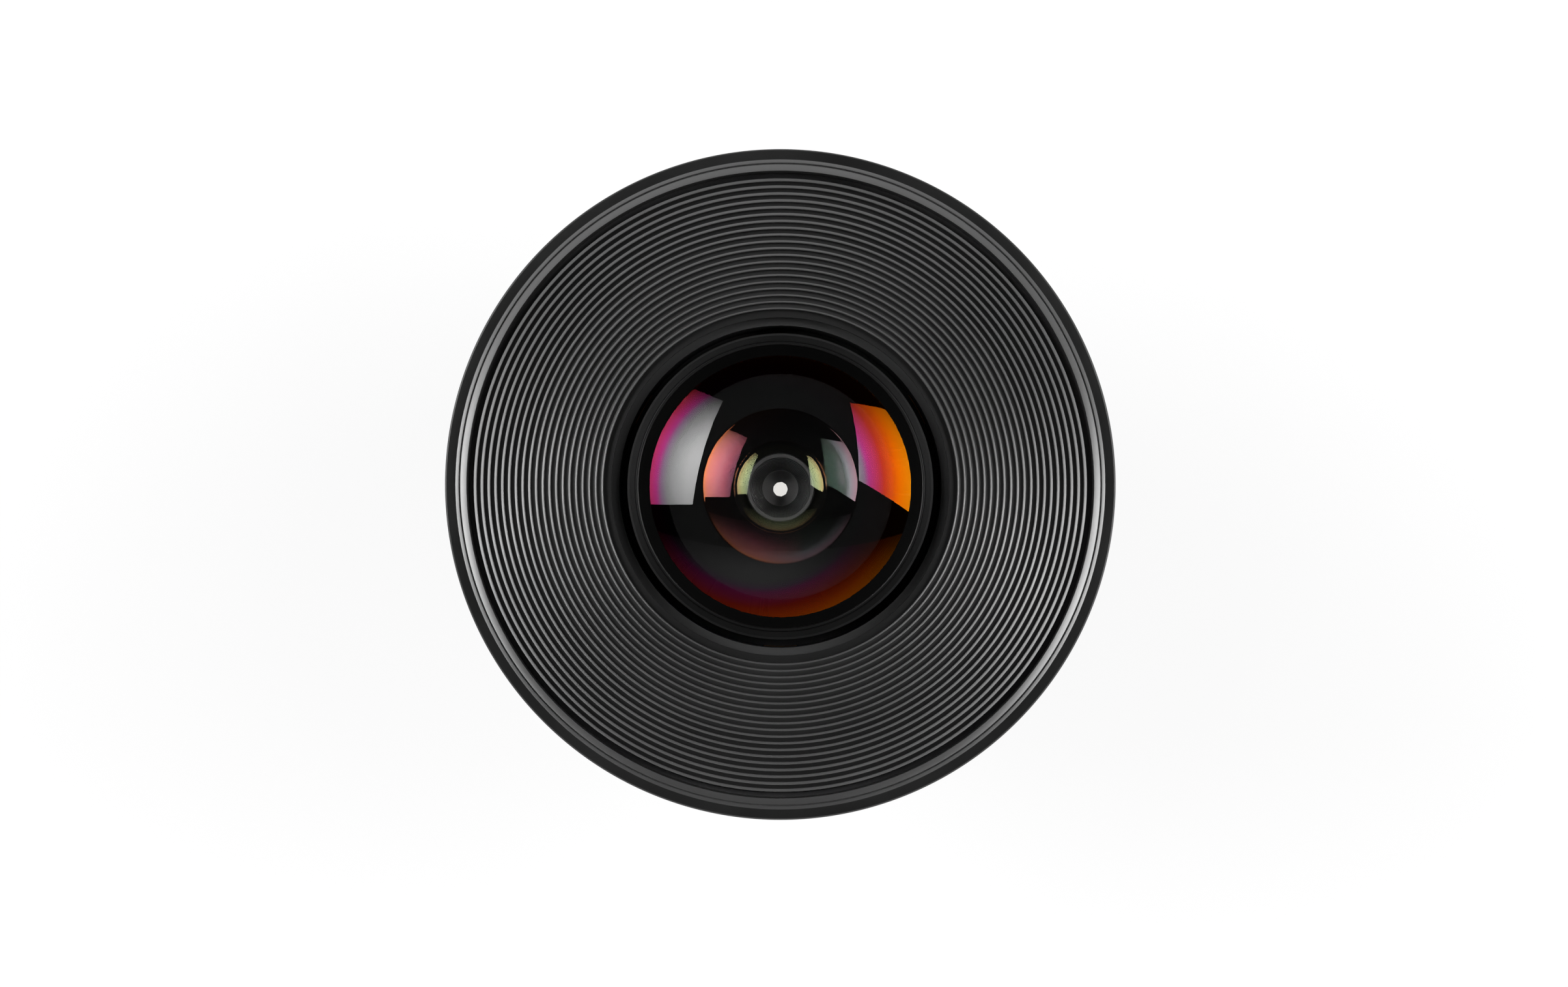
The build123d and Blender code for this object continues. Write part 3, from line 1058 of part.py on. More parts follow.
# Iris ring
def iris_ring():
    """Outer iris ring with its motor teeth."""
    c = IRIS_EDGE_CHAMFER
    bore = REAR_SHELL_R + RUNNING_GAP
    high = IRIS_RING_Z + IRIS_RING_LENGTH
    body = turned([
        (bore, IRIS_RING_Z), (IRIS_RING_R - c, IRIS_RING_Z), (IRIS_RING_R, IRIS_RING_Z + c),
        (IRIS_RING_R, high - c), (IRIS_RING_R - c, high), (bore, high),
    ])
    gear_low = IRIS_RING_Z + IRIS_GEAR_Z
    body = body + gear_teeth(IRIS_TEETH, IRIS_RING_R - GEAR_SEAT, gear_low, gear_low + GEAR_WIDTH)
    return body - lever_rod(IRIS_RING_R + TOOL_OVERRUN)


def lever_rod(outer):
    """Radial rod from the iris ring to the actuator's fork."""
    return radial_rod(LEVER_R, LEVER_TIP_R, outer, LEVER_ANGLE, LEVER_Z)


def iris_lever():
    """Pin that carries the iris ring's turn inward."""
    return lever_rod(IRIS_RING_R - FACE_GAP)


def stop_lug():
    """Lug on the focus ring's web that meets the stop pin at both ends of the throw."""
    pin_half = math.degrees((STOP_PIN_R + STOP_GAP) / STOP_CIRCLE_R)
    start = STOP_ANGLE + pin_half
    end = STOP_ANGLE + 360 - FOCUS_THROW - pin_half
    outer = STOP_CIRCLE_R + STOP_LUG_WIDTH / 2
    return sector(outer, outer - STOP_LUG_WIDTH, FOCUS_WEB_Z - STOP_LUG_LENGTH, FOCUS_WEB_Z, start, end)


PIECES = [
    mount_flange, mount_shim, mount_screws, rear_mask, rear_barrel, main_tube, index_sleeve, stop_pin,
    bearing_ring, front_barrel, front_ring, front_ring_screws, ribbed_funnel, focus_sleeve, focus_ring,
    focus_scale, focus_screws, stop_lug, carrier_ring, carrier_keys, optical_tube, front_cell,
    front_seal, front_bezel, front_element, second_element, second_lock_ring, grooved_baffle,
    inner_cell, third_element, doublet_spacer, doublet_front, doublet_rear, diaphragm_housing,
    diaphragm_cover, rear_cell, rear_doublet_front, rear_doublet_rear, rear_doublet_ring, rear_element,
    rear_lock_ring, iris_actuator, iris_ring, iris_lever,
]

os.makedirs("parts", exist_ok=True)
for piece in PIECES:
    export_step(piece(), f"parts/{piece.__name__}.step")
for number in range(BLADE_COUNT):
    export_step(iris_blade(number), f"parts/iris_blade_{number + 1}.step")
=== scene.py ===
import bmesh
import bpy
import math
from mathutils import Matrix, Vector


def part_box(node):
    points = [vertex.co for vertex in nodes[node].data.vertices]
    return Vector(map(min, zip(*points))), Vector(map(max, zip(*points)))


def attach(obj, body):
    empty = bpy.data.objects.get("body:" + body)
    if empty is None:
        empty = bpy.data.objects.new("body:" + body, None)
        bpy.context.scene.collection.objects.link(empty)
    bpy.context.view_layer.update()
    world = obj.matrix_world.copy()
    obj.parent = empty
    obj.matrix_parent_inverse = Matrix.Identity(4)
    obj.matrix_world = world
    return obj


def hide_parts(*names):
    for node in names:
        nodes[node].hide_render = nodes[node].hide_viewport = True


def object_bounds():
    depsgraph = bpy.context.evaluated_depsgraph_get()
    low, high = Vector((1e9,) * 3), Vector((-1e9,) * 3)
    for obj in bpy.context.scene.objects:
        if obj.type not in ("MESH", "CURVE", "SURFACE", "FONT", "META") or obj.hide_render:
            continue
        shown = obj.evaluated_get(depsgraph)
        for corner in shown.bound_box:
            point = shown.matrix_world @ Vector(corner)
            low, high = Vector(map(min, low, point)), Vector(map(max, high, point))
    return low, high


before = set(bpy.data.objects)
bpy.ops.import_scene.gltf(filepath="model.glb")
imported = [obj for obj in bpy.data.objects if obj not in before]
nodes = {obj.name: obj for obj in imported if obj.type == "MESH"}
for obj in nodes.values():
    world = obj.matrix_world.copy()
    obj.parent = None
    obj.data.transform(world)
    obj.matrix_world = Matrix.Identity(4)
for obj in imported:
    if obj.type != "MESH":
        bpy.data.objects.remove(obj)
cad_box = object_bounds()

# Camera: it looks straight down into the front of the lens from about 0.7 m, a little below the axis.
# The lens stands on its rear end, so the picture's left and right are -X and +X, and its foot is -Y.
FRONT_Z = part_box("front_ring")[1][2]
CAMERA_DISTANCE = 0.70
CAMERA_DROP = 0.0135
CAMERA_TILT, CAMERA_TURN = 0.973, -0.051
PICTURE_WIDTH_PX = 2408
FOCAL_PX = 6328
SENSOR_WIDTH_MM = 36.0
camera = bpy.data.objects.new("camera", bpy.data.cameras.new("camera"))
camera.data.sensor_width = SENSOR_WIDTH_MM
camera.data.lens = SENSOR_WIDTH_MM * FOCAL_PX / PICTURE_WIDTH_PX
camera.data.clip_start = 0.01
camera.location = (0.0, -CAMERA_DROP, FRONT_Z + CAMERA_DISTANCE)
camera.rotation_euler = (math.radians(CAMERA_TILT), math.radians(CAMERA_TURN), 0.0)
bpy.context.collection.objects.link(camera)
bpy.context.scene.camera = camera
scene = bpy.context.scene
scene.view_settings.view_transform = "Standard"
# The white seen through the stop has crossed all sixteen glass faces, so light paths are long.
scene.cycles.max_bounces = 32
scene.cycles.transmission_bounces = 28
scene.cycles.transparent_max_bounces = 48
scene.cycles.glossy_bounces = 8
scene.cycles.caustics_refractive = False
scene.cycles.caustics_reflective = False


# Stage: a plain white table, a tall softbox on each side of the lens and a pale board at its foot.
# The room overhead is dark, which keeps the glass black between the reflections of the lights.
def linear(code):
    """Linear red, green, blue and alpha of an sRGB hex colour."""
    channels = [int(code[i:i + 2], 16) / 255 for i in (1, 3, 5)]
    return [c / 12.92 if c <= 0.04045 else ((c + 0.055) / 1.055) ** 2.4 for c in channels] + [1.0]


def add(material, kind, settings=None, **links):
    """Adds a node; settings fill sockets and fields, links join other outputs to sockets, i0 to the first."""
    node = material.node_tree.nodes.new(kind)
    for key, value in (settings or {}).items():
        if isinstance(key, int) or key in node.inputs:
            node.inputs[key].default_value = value
        else:
            setattr(node, key, value)
    for key, output in links.items():
        name = int(key[1:]) if key[0] == "i" and key[1:].isdigit() else key.replace("_", " ")
        material.node_tree.links.new(output, node.inputs[name])
    return node


def fresh(name):
    """New empty node material."""
    material = bpy.data.materials.new(name)
    material.use_nodes = True
    material.node_tree.nodes.clear()
    return material


def finish_material(material, shader):
    """Joins a shader to the material's surface."""
    add(material, "ShaderNodeOutputMaterial", Surface=shader)
    return material


def new_piece(name, verts, faces):
    """New mesh object from plain lists, in metres."""
    mesh = bpy.data.meshes.new(name)
    mesh.from_pydata(verts, [], faces)
    piece = bpy.data.objects.new(name, mesh)
    bpy.context.collection.objects.link(piece)
    return piece


TABLE_HALF = 3.0
table_z = cad_box[0][2]
table = new_piece("white_table", [(x * TABLE_HALF, y * TABLE_HALF, table_z) for x, y in
                                  ((-1, -1), (1, -1), (1, 1), (-1, 1))], [(0, 1, 2, 3)])
# White laminate: seen, mirrored or through glass it glows, and to bounced light it is plain white.
table_paint = fresh("white_laminate")
path = add(table_paint, "ShaderNodeLightPath")
straight = add(table_paint, "ShaderNodeMath", {"operation": "MAXIMUM"},
               i0=path.outputs["Is Camera Ray"], i1=path.outputs["Is Transmission Ray"])
seen = add(table_paint, "ShaderNodeMath", {"operation": "MAXIMUM"},
           i0=straight.outputs[0], i1=path.outputs["Is Glossy Ray"])
shaded = add(table_paint, "ShaderNodeBsdfDiffuse", {"Color": linear("#676767")})
# Near the lens the glow is a little lower, so that the lens's shadow still shows.
NEAR_LENS, FAR_FROM_LENS = 0.10, 0.55
WHITE_NEAR, WHITE_FAR = 0.82, 0.99
spot = add(table_paint, "ShaderNodeTexCoord")
away = add(table_paint, "ShaderNodeVectorMath", {"operation": "LENGTH"}, i0=spot.outputs["Object"])
white = add(table_paint, "ShaderNodeMapRange", {1: NEAR_LENS, 2: FAR_FROM_LENS, 3: WHITE_NEAR, 4: WHITE_FAR},
            i0=away.outputs["Value"])
glow = add(table_paint, "ShaderNodeEmission", {"Color": (1, 1, 1, 1)}, Strength=white.outputs[0])
lit = add(table_paint, "ShaderNodeAddShader", i0=shaded.outputs[0], i1=glow.outputs[0])
paint = add(table_paint, "ShaderNodeBsdfDiffuse", {"Color": linear("#e6e6e6")})
pick = add(table_paint, "ShaderNodeMixShader", i0=seen.outputs[0], i1=paint.outputs[0], i2=lit.outputs[0])
table.data.materials.append(finish_material(table_paint, pick.outputs[0]))

world = bpy.data.worlds.new("dark_room_pale_horizon")
scene.world = world
world.use_nodes = True
world.node_tree.nodes.clear()
direction = add(world, "ShaderNodeTexCoord")
height = add(world, "ShaderNodeSeparateXYZ", i0=direction.outputs["Generated"])
PALE_UP_TO, DARK_FROM = 0.02, 0.16
fade = add(world, "ShaderNodeMapRange", {1: PALE_UP_TO, 2: DARK_FROM, 3: 1.0, 4: 0.0}, i0=height.outputs["Z"])
room = add(world, "ShaderNodeMix", {"data_type": "RGBA", 6: linear("#1f1f1f"), 7: linear("#fafafa")},
           i0=fade.outputs[0])
looking = add(world, "ShaderNodeLightPath")
tone = add(world, "ShaderNodeMix", {"data_type": "RGBA", 7: (1, 1, 1, 1)},
           i0=looking.outputs["Is Camera Ray"], i6=room.outputs[2])
sky = add(world, "ShaderNodeBackground", {"Strength": 1.0}, i0=tone.outputs[2])
add(world, "ShaderNodeOutputWorld", Surface=sky.outputs[0])


PANEL_CELLS = 12


def light_panel(name, foot_inner, foot_outer, top_inner, top_outer, glow):
    """Flat light between four corners in metres; glow gives its strength across it and from foot to top."""
    a, b, c, d = (Vector(p) for p in (foot_inner, foot_outer, top_inner, top_outer))
    steps = [k / PANEL_CELLS for k in range(PANEL_CELLS + 1)]
    verts = [tuple(a.lerp(b, u).lerp(c.lerp(d, u), v)) for v in steps for u in steps]
    row = PANEL_CELLS + 1
    faces = [(k, k + 1, k + 1 + row, k + row) for k in range(PANEL_CELLS * row) if (k + 1) % row]
    panel = new_piece(name, verts, faces)
    panel.visible_camera = False
    shade = panel.data.color_attributes.new("glow", "FLOAT_COLOR", "POINT")
    for k, (v, u) in enumerate((v, u) for v in steps for u in steps):
        shade.data[k].color = (glow(u, v),) * 3 + (1.0,)
    # Diffusing cloth: glows by itself, as bright as the glow stored at each of its points.
    cloth = fresh(name + "_cloth")
    stored = add(cloth, "ShaderNodeAttribute", {"attribute_name": "glow"})
    shine = add(cloth, "ShaderNodeEmission", {"Strength": 1.0}, Color=stored.outputs["Color"])
    panel.data.materials.append(finish_material(cloth, shine.outputs[0]))


LAMP_FALLOFF = 1.3


def lamp_glow(strength, foot, lamp, top):
    """Brightness up a softbox: full at the lamp's height, and a share of that at its foot and its top."""
    def glow(u, v):
        if v < lamp:
            return strength * (1 - (1 - foot) * ((lamp - v) / lamp) ** LAMP_FALLOFF)
        return strength * (1 - (1 - top) * ((v - lamp) / (1 - lamp)) ** LAMP_FALLOFF)
    return glow


light_panel("left_softbox", foot_inner=(-0.820, -0.147, 1.146), foot_outer=(-1.760, -0.118, 0.310),
            top_inner=(-0.526, 0.804, 1.040), top_outer=(-1.270, 1.040, 0.300),
            glow=lamp_glow(strength=9.4, foot=0.6, lamp=0.46, top=0.12))
light_panel("right_softbox", foot_inner=(0.630, 0.064, 1.029), foot_outer=(1.660, -0.580, 0.305),
            top_inner=(0.550, 0.677, 0.872), top_outer=(1.260, 0.400, 0.310),
            glow=lamp_glow(strength=9.6, foot=0.9, lamp=0.4, top=0.35))
BOARD_DIM, BOARD_RISE, FULL_FROM = 0.1, 2.5, 0.6
BOARD_LEFT, BOARD_GAIN = 0.55, 0.95


def board_glow(u, v):
    """The board gets brighter downwards, and towards the right softbox."""
    return (BOARD_DIM + BOARD_RISE * min(u, FULL_FROM) ** 2) * (BOARD_LEFT + BOARD_GAIN * v)


light_panel("pale_board", foot_inner=(-1.35, -0.35, 0.80), foot_outer=(-1.35, -0.31, -0.02),
            top_inner=(1.2, -0.35, 0.75), top_outer=(1.2, -0.31, -0.02), glow=board_glow)


# Mount: a hardened stainless flange and spigot, turned and polished, on a rolled brass shim that sets the
# distance to the film plane. Six screws hold it, and a thin plate inside masks the picture's rectangle.
def dress(material, *names):
    """Gives a finish to nodes of the frame."""
    for name in names:
        mesh = nodes[name].data
        mesh.materials.clear()
        mesh.materials.append(material)


# A noise pattern mostly stays between these two values; a bump as strong as 1 is this deep, in metres.
NOISE_LOW, NOISE_HIGH = 0.3, 0.7
BUMP_DEPTH = 0.0001


def metal(name, colour, roughness, grain_mm, grain):
    """Bare metal with a fine grain in its gloss."""
    material = fresh(name)
    place = add(material, "ShaderNodeTexCoord").outputs["Object"]
    fine = add(material, "ShaderNodeTexNoise", {"Scale": 1000 / grain_mm, "Detail": 2.0}, Vector=place)
    tone = add(material, "ShaderNodeMapRange",
               {1: NOISE_LOW, 2: NOISE_HIGH, 3: roughness * 0.8, 4: roughness * 1.25}, i0=fine.outputs[0])
    bump = add(material, "ShaderNodeBump", {"Strength": grain, "Distance": BUMP_DEPTH},
               Height=fine.outputs[0])
    shell = add(material, "ShaderNodeBsdfPrincipled", {"Base Color": linear(colour), "Metallic": 1.0},
                Roughness=tone.outputs[0], Normal=bump.outputs[0])
    return finish_material(material, shell.outputs[0])


# Turned and polished stainless steel: bright, with a faint, fine grain.
dress(metal("turned_stainless_steel", "#b9b8b4", 0.24, 0.3, 0.05), "mount_flange")
# Rolled brass: a warm thin line between flange and barrel.
dress(metal("rolled_brass", "#c9a45c", 0.3, 0.4, 0.05), "mount_shim")
# Black oxide on steel: dark with a bluish, oily gloss.
black_oxide = metal("black_oxide_steel", "#2c2c2e", 0.42, 0.2, 0.1)
dress(black_oxide, "mount_screws")


# Rear barrel: turned aluminium, bead blasted, then hard anodised and dyed black.
# The mount is screwed to its rear face, and the iris ring turns on its step.
# Blasting and anodising leave a grain of about 0.05 mm, which is drawn 0.12 mm or coarser so that it shows.
# Cloudy patches of about 17 mm vary the gloss a little, as handling does.
CLOUDS_PER_METRE = 60.0
ANODISE_IOR = 1.65


def anodised(name, colour, roughness, grain_mm, grain, turned_mm=0.0, turning=0.0, shine=0.5):
    """Anodised, painted or lacquered surface; shine is its specular level.

    turned_mm adds the rings that a lathe leaves, of that pitch and as strong as turning.
    """
    material = fresh(name)
    place = add(material, "ShaderNodeTexCoord").outputs["Object"]
    fine = add(material, "ShaderNodeTexNoise", {"Scale": 1000 / grain_mm, "Detail": 3.0}, Vector=place)
    broad = add(material, "ShaderNodeTexNoise", {"Scale": CLOUDS_PER_METRE, "Detail": 4.0}, Vector=place)
    tone = add(material, "ShaderNodeMapRange",
               {1: NOISE_LOW, 2: NOISE_HIGH, 3: roughness * 0.9, 4: roughness * 1.12}, i0=broad.outputs[0])
    bump = add(material, "ShaderNodeBump", {"Strength": grain, "Distance": BUMP_DEPTH},
               Height=fine.outputs[0])
    normal = bump.outputs[0]
    if turned_mm:
        flat = add(material, "ShaderNodeVectorMath", {"operation": "MULTIPLY", 1: (1, 1, 0)}, i0=place)
        radius = add(material, "ShaderNodeVectorMath", {"operation": "LENGTH"}, i0=flat.outputs[0])
        depth = add(material, "ShaderNodeSeparateXYZ", i0=place)
        travel = add(material, "ShaderNodeMath", {"operation": "ADD"},
                     i0=radius.outputs["Value"], i1=depth.outputs["Z"])
        rings = add(material, "ShaderNodeTexNoise",
                    {"noise_dimensions": "1D", "Scale": 1000 / turned_mm, "Detail": 1.0}, W=travel.outputs[0])
        cut = add(material, "ShaderNodeBump", {"Strength": turning, "Distance": BUMP_DEPTH},
                  Height=rings.outputs[0], Normal=normal)
        normal = cut.outputs[0]
    shell = add(material, "ShaderNodeBsdfPrincipled",
                {"Base Color": linear(colour), "IOR": ANODISE_IOR, "Specular IOR Level": shine},
                Roughness=tone.outputs[0], Normal=normal)
    return finish_material(material, shell.outputs[0])


# Bead-blasted black anodising: an even, soft dark grey with a sparkle too fine to resolve.
barrel_finish = anodised("bead_blasted_black_anodise", "#1e1e1f", 0.42, 0.12, 0.12)
dress(barrel_finish, "rear_barrel")
# Matt black lacquer: takes the light off the plate round the picture.
dress(anodised("matt_black_lacquer", "#0f0f0f", 0.75, 0.15, 0.1), "rear_mask")


# Main tube, bearing ring and steel stop pin: the fixed core that the focus sleeve turns on.
# The tube is turned from one bar and anodised; three slots in it guide the optical block.
# Plain black anodising, as turned and etched: darker and duller than the outside.
inner_finish = anodised("black_anodised_tube", "#0e0e0e", 0.6, 0.2, 0.06)
dress(inner_finish, "main_tube", "bearing_ring")
# Ground steel: darker and a little duller than the flange.
ground_steel = metal("ground_steel", "#9c9c9c", 0.3, 0.2, 0.06)
dress(ground_steel, "stop_pin")


# Iris ring: turned aluminium with a band of motor teeth, and engraved aperture numbers filled with white.
# A steel lever runs inwards from it through the barrel to the diaphragm.
# Satin black anodising: smoother than the barrels, with faint rings left by the lathe.
ring_finish = anodised("satin_black_anodise", "#1c1c1d", 0.34, 0.15, 0.06, 0.12, 0.05)
dress(ring_finish, "iris_ring")
dress(ground_steel, "iris_lever")
INDEX_ANGLE = 180.0
# The paint is drawn a hair proud of the metal, and a figure fills seven tenths of its font's size.
PAINT_PROUD = 0.03
CAPITAL_SHARE = 0.7


def stroke(points, width):
    """Flat line of a width along points, as vertices and faces."""
    verts, faces = [], []
    for k, here in enumerate(points):
        before, after = Vector(points[max(k - 1, 0)]), Vector(points[min(k + 1, len(points) - 1)])
        side = (after - before).normalized().orthogonal() * width / 2
        verts += [tuple(Vector(here) - side), tuple(Vector(here) + side)]
        if k:
            faces.append((2 * k - 2, 2 * k, 2 * k + 1, 2 * k - 1))
    return verts, faces


def upright(length, width):
    """Flat upright line of a scale, from its foot."""
    return stroke([(0, 0), (0, length)], width)


def lettering(text, height):
    """Flat outline of a number, centred on x = 0 with its foot on y = 0, as vertices and faces."""
    curve = bpy.data.curves.new(text, "FONT")
    curve.body = text
    curve.align_x = "CENTER"
    curve.size = height / CAPITAL_SHARE
    curve.resolution_u = 4
    holder = bpy.data.objects.new(text, curve)
    mesh = bpy.data.meshes.new_from_object(holder)
    verts = [(v.co.x, v.co.y) for v in mesh.vertices]
    faces = [tuple(p.vertices) for p in mesh.polygons]
    bpy.data.objects.remove(holder)
    bpy.data.meshes.remove(mesh)
    return verts, faces


def engraved(name, marks, radius, body, paint):
    """One piece of painted marks on a cylinder; each mark is (angle, height, flat vertices and faces)."""
    verts, faces = [], []
    for angle, z, (flat, sides) in marks:
        first = len(verts)
        for x, y in flat:
            a = math.radians(angle) + x / radius
            r = (radius + PAINT_PROUD) / 1000
            verts.append((r * math.cos(a), r * math.sin(a), (z + y) / 1000))
        faces += [tuple(first + k for k in side) for side in sides]
    piece = new_piece(name, verts, faces)
    piece.data.materials.append(paint)
    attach(piece, body)
    return piece


# White engraving paint: matt, slightly uneven where it was wiped into the cut.
white_paint = anodised("white_engraving_paint", "#d8d6cf", 0.6, 0.3, 0.2)
IRIS_RING_R = 51.0
IRIS_OPEN, IRIS_CLOSED = 24.0, -10.0
STOP_NUMBER_Z, STOP_NUMBER_HEIGHT = 32.6, 2.3
STOP_TICK_Z, SHORT_TICK_Z = 36.0, 36.7
STOPS = ["2.9", "4", "5.6", "8", "11", "16", "22"]
stop_step = (IRIS_CLOSED - IRIS_OPEN) / (len(STOPS) - 1)
tick = upright(length=1.7, width=0.28)
short_tick = upright(length=1.0, width=0.18)
stop_marks = []
for i, text in enumerate(STOPS):
    angle = INDEX_ANGLE + IRIS_OPEN + i * stop_step
    stop_marks += [(angle, STOP_TICK_Z, tick), (angle, STOP_NUMBER_Z, lettering(text, STOP_NUMBER_HEIGHT))]
    if i:
        stop_marks += [(angle - stop_step * share, SHORT_TICK_Z, short_tick) for share in (1 / 3, 2 / 3)]
engraved("aperture_numbers", stop_marks, IRIS_RING_R, "iris_ring_group", white_paint)


# Index sleeve: a fixed black anodised ring between the iris and focus rings.
# One engraved white line across it is the mark that both scales are read against.
dress(barrel_finish, "index_sleeve")
INDEX_R, INDEX_FOOT, INDEX_LENGTH = 54.0, 40.2, 5.4
index_line = upright(length=INDEX_LENGTH, width=0.5)
engraved("index_line", [(INDEX_ANGLE, INDEX_FOOT, index_line)], INDEX_R, "housing",
         white_paint)


# Focus group: the ring with motor teeth and the scale sleeve screwed to it turn together on a bronze sleeve.
# A steel lug inside stops the turn at each end, and the scale's distances are engraved and filled with white.
dress(ring_finish, "focus_ring", "focus_scale")
dress(black_oxide, "focus_screws")
dress(ground_steel, "stop_lug")
# Bronze: warm brown metal, seen only where the rings part.
bronze = metal("bronze", "#a8743f", 0.35, 0.3, 0.08)
dress(bronze, "focus_sleeve")
SCALE_R = 54.2
FOCUS_THROW = 300.0
SCALE_FOOT = 46.9
DISTANCE_Z, DISTANCE_HEIGHT = SCALE_FOOT + 3.5, 2.9
# Distances in feet: those with a number, and those with a tick alone.
# A mark's angle from infinity goes with one over its distance.
FEET = [20, 10, 7, 5, 4, 3, 2.5, 2, 1.8, 1.6, 1.5, 1.4, 1.3, 1.2, 1.1, 1]
FEET_BETWEEN = [50, 30, 15, 8.5, 6, 4.5, 3.5, 2.75, 2.25, 1.9, 1.7, 1.55, 1.45, 1.35, 1.25, 1.15, 1.05]
# The infinity sign is a lying eight.
EIGHT_HALF_WIDTH, EIGHT_HEIGHT, EIGHT_MIDDLE = 1.9, 2.2, 1.2
EIGHT_STEPS = 48
EIGHT_Z = SCALE_FOOT + 3.6
eight = []
for k in range(EIGHT_STEPS + 1):
    t = 2 * math.pi * k / EIGHT_STEPS
    narrowing = 1 + math.sin(t) ** 2
    eight.append((EIGHT_HALF_WIDTH * math.cos(t) / narrowing,
                  EIGHT_MIDDLE + EIGHT_HEIGHT * math.sin(t) * math.cos(t) / narrowing))
infinity = stroke(eight, width=0.34)
long_tick = upright(length=2.6, width=0.3)
middle_tick = upright(length=1.6, width=0.2)
distance_marks = [(INDEX_ANGLE, SCALE_FOOT, long_tick), (INDEX_ANGLE, EIGHT_Z, infinity)]
for feet in FEET:
    angle = INDEX_ANGLE - FOCUS_THROW / feet
    distance_marks += [(angle, SCALE_FOOT, long_tick),
                       (angle, DISTANCE_Z, lettering(f"{feet:g}", DISTANCE_HEIGHT))]
for feet in FEET_BETWEEN:
    distance_marks.append((INDEX_ANGLE - FOCUS_THROW / feet, SCALE_FOOT, middle_tick))
engraved("distance_numbers", distance_marks, SCALE_R, "focus_group", white_paint)


# Front barrel: black anodised cone and skirt that close the focus ring and carry the front ring.
# Three grub screws with hexagon sockets lock the front ring on it.
dress(barrel_finish, "front_barrel")
dress(black_oxide, "front_ring_screws")


# Front ring: turned aluminium, blasted and dyed black, with a bright-turned bevel inside the rim.
# A clamp-on matte box grips its outside, and three grub screws in drilled holes hold it on the barrel.
SHARP_FROM = 28.0


def lathe(name, outline, body, node, materials, slots, segments, closed=True):
    """Spins a (radius, height) outline in millimetres; slots gives each stretch of it a material."""
    verts = []
    rows = []
    for r, z in outline:
        if r == 0:
            rows.append([len(verts)])
            verts.append((0.0, 0.0, z / 1000))
        else:
            rows.append(list(range(len(verts), len(verts) + segments)))
            for s in range(segments):
                a = 2 * math.pi * s / segments
                verts.append((r / 1000 * math.cos(a), r / 1000 * math.sin(a), z / 1000))
    faces = []
    kinds = []
    for k in range(len(outline) - (0 if closed else 1)):
        low, high = rows[k], rows[(k + 1) % len(rows)]
        for s in range(segments):
            t = (s + 1) % segments
            if len(low) == 1:
                faces.append((low[0], high[t], high[s]))
            elif len(high) == 1:
                faces.append((low[s], low[t], high[0]))
            else:
                faces.append((low[s], low[t], high[t], high[s]))
            kinds.append(slots[k])
    mesh = bpy.data.meshes.new(name)
    mesh.from_pydata(verts, [], faces)
    for material in materials:
        mesh.materials.append(material)
    mesh.polygons.foreach_set("material_index", kinds)
    mesh.polygons.foreach_set("use_smooth", [True] * len(faces))
    mesh.set_sharp_from_angle(angle=math.radians(SHARP_FROM))
    mesh.update()
    piece = bpy.data.objects.new(name, mesh)
    bpy.context.collection.objects.link(piece)
    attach(piece, body)
    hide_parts(node)
    return piece


SOFTENED_STEPS = 4
# Corners flatter than this many degrees stay, and a rounding takes at most this share of a side.
NEARLY_STRAIGHT = 155.0
CORNER_SHARE = 0.45


def softened(outline, radius):
    """The outline with each sharp corner rounded; corners between short runs get what fits."""
    rounded = []
    count = len(outline)
    for k in range(count):
        before, here, after = (Vector(outline[(k + d) % count]) for d in (-1, 0, 1))
        to_before, to_after = before - here, after - here
        bend = to_before.angle(to_after, math.pi)
        if bend > math.radians(NEARLY_STRAIGHT):
            rounded.append(tuple(here))
            continue
        half = bend / 2
        reach = min(radius / math.tan(half), CORNER_SHARE * to_before.length, CORNER_SHARE * to_after.length)
        fitted = reach * math.tan(half)
        start = here + to_before.normalized() * reach
        end = here + to_after.normalized() * reach
        inwards = (to_before.normalized() + to_after.normalized()).normalized()
        centre = here + inwards * fitted / math.sin(half)
        first, last = start - centre, end - centre
        turn = first.angle_signed(last)
        for s in range(SOFTENED_STEPS + 1):
            rounded.append(tuple(centre + Matrix.Rotation(-turn * s / SOFTENED_STEPS, 2) @ first))
    return rounded


FRONT_R = 57.0
DRILL_SIDES, DRILL_LENGTH, DRILL_INSET = 40, 8.0, 1.0


def drill(piece, angle, height, radius):
    """Cuts a round hole through the front ring's outside wall, in millimetres."""
    cutter_mesh = bpy.data.meshes.new("drill")
    bm = bmesh.new()
    outwards = Matrix.Rotation(math.radians(angle), 4, "Z")
    on_wall = Matrix.Translation(((FRONT_R - DRILL_INSET) / 1000, 0, height / 1000))
    lying = Matrix.Rotation(math.pi / 2, 4, "Y")
    bmesh.ops.create_cone(bm, cap_ends=True, segments=DRILL_SIDES, radius1=radius / 1000,
                          radius2=radius / 1000, depth=DRILL_LENGTH / 1000, matrix=outwards @ on_wall @ lying)
    bm.to_mesh(cutter_mesh)
    bm.free()
    cutter = bpy.data.objects.new("drill", cutter_mesh)
    bpy.context.collection.objects.link(cutter)
    cut = piece.modifiers.new("hole", "BOOLEAN")
    cut.object = cutter
    cut.solver = "EXACT"
    bpy.context.view_layer.update()
    bored = bpy.data.meshes.new_from_object(piece.evaluated_get(bpy.context.evaluated_depsgraph_get()))
    piece.modifiers.clear()
    piece.data = bored
    bpy.data.objects.remove(cutter)


FRONT_RING_REAR, FRONT_FACE_Z = 77.0, 95.0
REAR_CHAMFER, RIM_CHAMFER = 1.0, 0.25
RIM_INNER_R, BEVEL_INNER_R, BEVEL_FOOT_Z = 55.2, 53.45, 93.4
